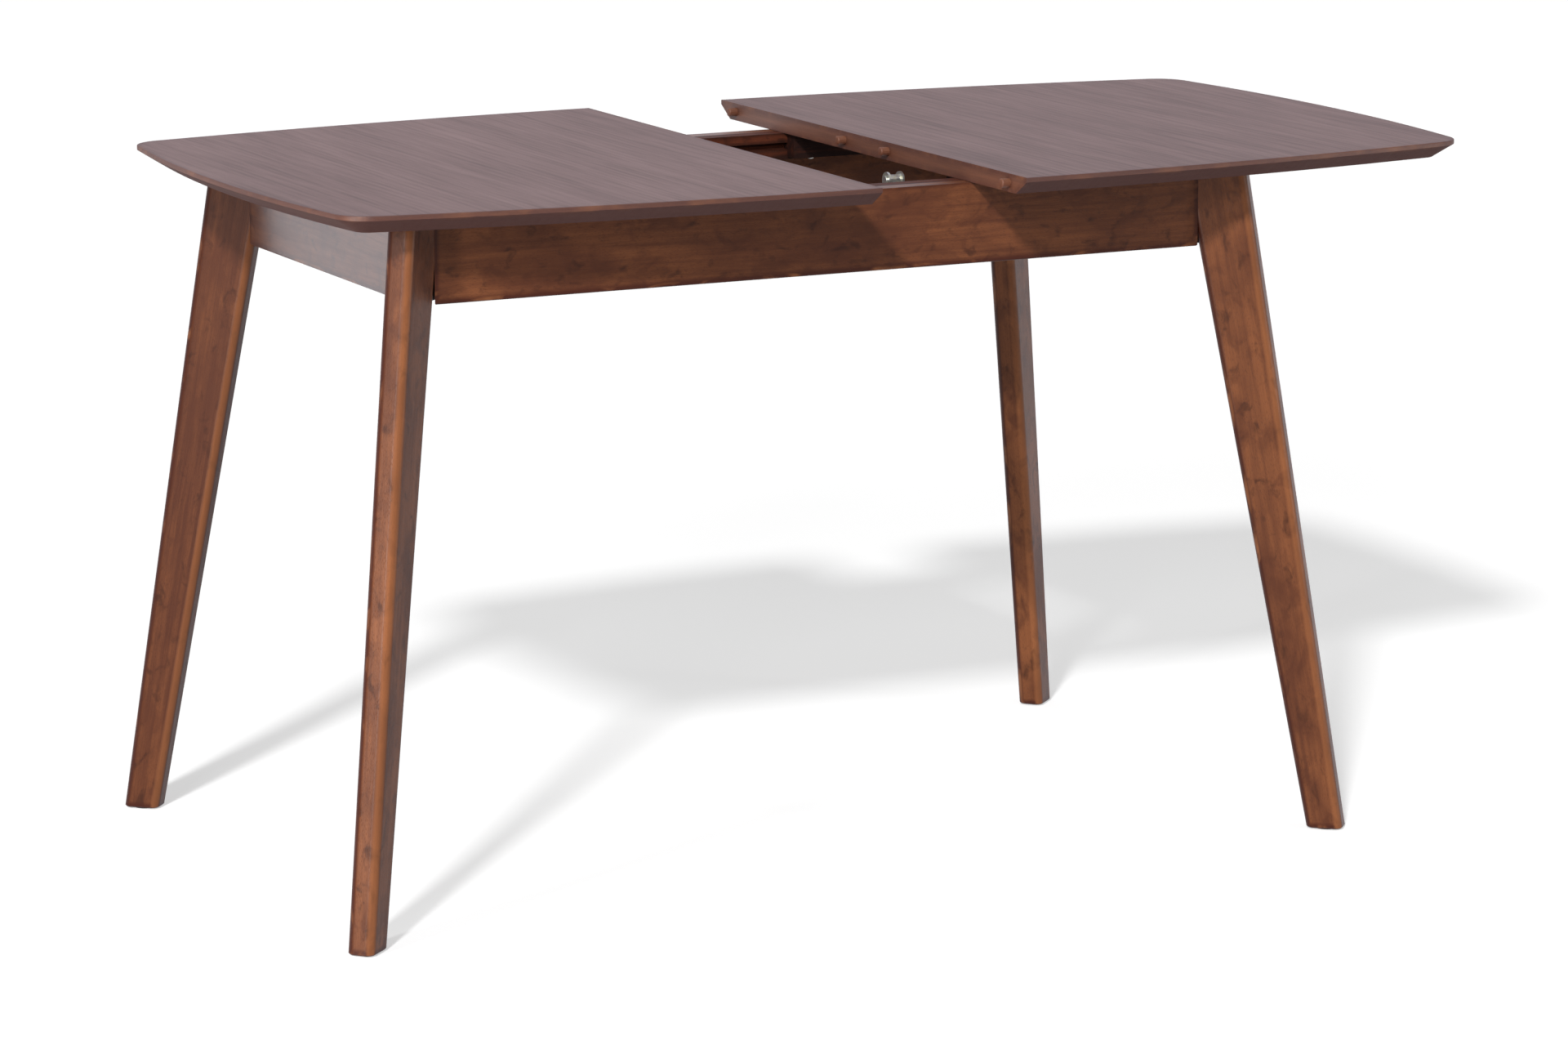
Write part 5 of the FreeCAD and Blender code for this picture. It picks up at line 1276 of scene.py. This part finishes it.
def lay_floor(scene, stage):
    """A wide sheet of white paper that keeps the table's shadow."""
    corners = np.array([(-1, -1, 0), (1, -1, 0), (1, 1, 0), (-1, 1, 0)]) * FLOOR_HALF
    mesh = bpy.data.meshes.new("floor")
    mesh.from_pydata(corners.tolist(), [], [(0, 1, 2, 3)])
    floor = bpy.data.objects.new("floor", mesh)
    scene.collection.objects.link(floor)
    material = bpy.data.materials.new("paper_floor")
    material.use_nodes = True
    tree = material.node_tree
    tree.nodes.clear()
    paper = add_node(tree, "ShaderNodeBsdfDiffuse")
    paper.inputs["Color"].default_value = PAPER_GREY
    lit = add_node(tree, "ShaderNodeBsdfDiffuse")
    lit.inputs["Color"].default_value = (*([stage.floor_tone_share] * 3), 1)
    glow = add_node(tree, "ShaderNodeEmission")
    glow.inputs["Strength"].default_value = stage.floor_glow_share
    feed(tree, glow.inputs["Color"], shown_colour(tree, stage))
    shown = add_node(tree, "ShaderNodeAddShader")
    feed(tree, shown.inputs[0], lit.outputs["BSDF"])
    feed(tree, shown.inputs[1], glow.outputs["Emission"])
    either = add_node(tree, "ShaderNodeMixShader")
    feed(tree, either.inputs["Fac"], seen_share(tree))
    feed(tree, either.inputs[1], paper.outputs["BSDF"])
    feed(tree, either.inputs[2], shown.outputs["Shader"])
    surface = add_node(tree, "ShaderNodeOutputMaterial")
    feed(tree, surface.inputs["Surface"], either.outputs["Shader"])
    mesh.materials.append(material)


def light_room(scene, stage):
    """An even studio room that shows white."""
    world = bpy.data.worlds.new("studio")
    scene.world = world
    world.use_nodes = True
    tree = world.node_tree
    room = tree.nodes["Background"]
    feed(tree, room.inputs["Color"], shown_colour(tree, stage))
    strength = rescale(tree, seen_share(tree), 0, 1, stage.room_strength, 1)
    feed(tree, room.inputs["Strength"], strength)


def hang_lamps(scene, stage):
    """Two far lamps at the front left, one above the other, and upright strips near the legs."""
    lamps = (
        ("high_lamp", HIGH_SHINE, stage.high_strength, stage.high_spread),
        ("low_lamp", LOW_SHINE, stage.low_strength, stage.low_spread),
    )
    for name, shining, strength, spread in lamps:
        data = bpy.data.lights.new(name, "SUN")
        data.energy = strength
        data.angle = spread
        lamp = bpy.data.objects.new(name, data)
        scene.collection.objects.link(lamp)
        lamp.rotation_euler = Vector(shining).to_track_quat("-Z", "Y").to_euler()
    for name, (place, share) in STRIP_LAMPS.items():
        data = bpy.data.lights.new(name, "AREA")
        data.shape = "RECTANGLE"
        data.size, data.size_y = STRIP_SIZE
        data.energy = stage.strip_power * share
        strip = bpy.data.objects.new(name, data)
        scene.collection.objects.link(strip)
        strip.location = (*place, STRIP_HEIGHT)
        strip.rotation_euler = (-Vector((*place, 0))).to_track_quat("-Z", "Y").to_euler()
        strip.visible_camera = False


def place_camera(scene, stage):
    """The camera at the photograph's place, turned, tilted and leant about its own axes."""
    data = bpy.data.cameras.new("camera")
    data.sensor_width = FILM_WIDTH
    data.lens = stage.focal_length
    data.clip_end = FARTHEST_SIGHT
    camera = bpy.data.objects.new("camera", data)
    scene.collection.objects.link(camera)
    upright = math.radians(90)
    turn = Matrix.Rotation(-stage.camera_turn, 4, "Z")
    tilt = Matrix.Rotation(upright + stage.camera_tilt, 4, "X")
    lean = Matrix.Rotation(stage.camera_roll, 4, "Z")
    camera.matrix_world = Matrix.Translation(stage.camera_place) @ turn @ tilt @ lean
    scene.camera = camera


# The add-on


OPERATORS = (
    TABLE_OT_finish_frame,
    TABLE_OT_finish_top,
    TABLE_OT_finish_inside,
    TABLE_OT_turn_dowels,
    TABLE_OT_cut_screws,
    TABLE_OT_cut_leg_bolts,
    TABLE_OT_finish_fittings,
    TABLE_OT_set_stage,
)


class TABLE_PT_pieces(Panel):
    """Lists the steps that dress the table"""

    bl_idname = "TABLE_PT_pieces"
    bl_label = "Extending dining table"
    bl_space_type = "VIEW_3D"
    bl_region_type = "UI"
    bl_category = "Table"

    def draw(self, context):
        column = self.layout.column()
        for operator in OPERATORS:
            column.operator(operator.bl_idname, text=operator.bl_label)
        for field in ("eased_edge", "inner_eased_edge"):
            column.prop(context.scene.dining_table, field)


CLASSES = (
    TopFinish,
    FrameFinish,
    InnerFinish,
    DowelFinish,
    MetalFinish,
    HardwareSizes,
    StageSettings,
    TableSettings,
    *OPERATORS,
    TABLE_PT_pieces,
)


def register():
    for part in CLASSES:
        bpy.utils.register_class(part)
    bpy.types.Scene.dining_table = PointerProperty(type=TableSettings)


def unregister():
    del bpy.types.Scene.dining_table
    for part in reversed(CLASSES):
        bpy.utils.unregister_class(part)


def main():
    """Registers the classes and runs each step."""
    register()
    for operator in OPERATORS:
        group, step = operator.bl_idname.split(".")
        getattr(getattr(bpy.ops, group), step)()


if __name__ == "__main__":
    main()
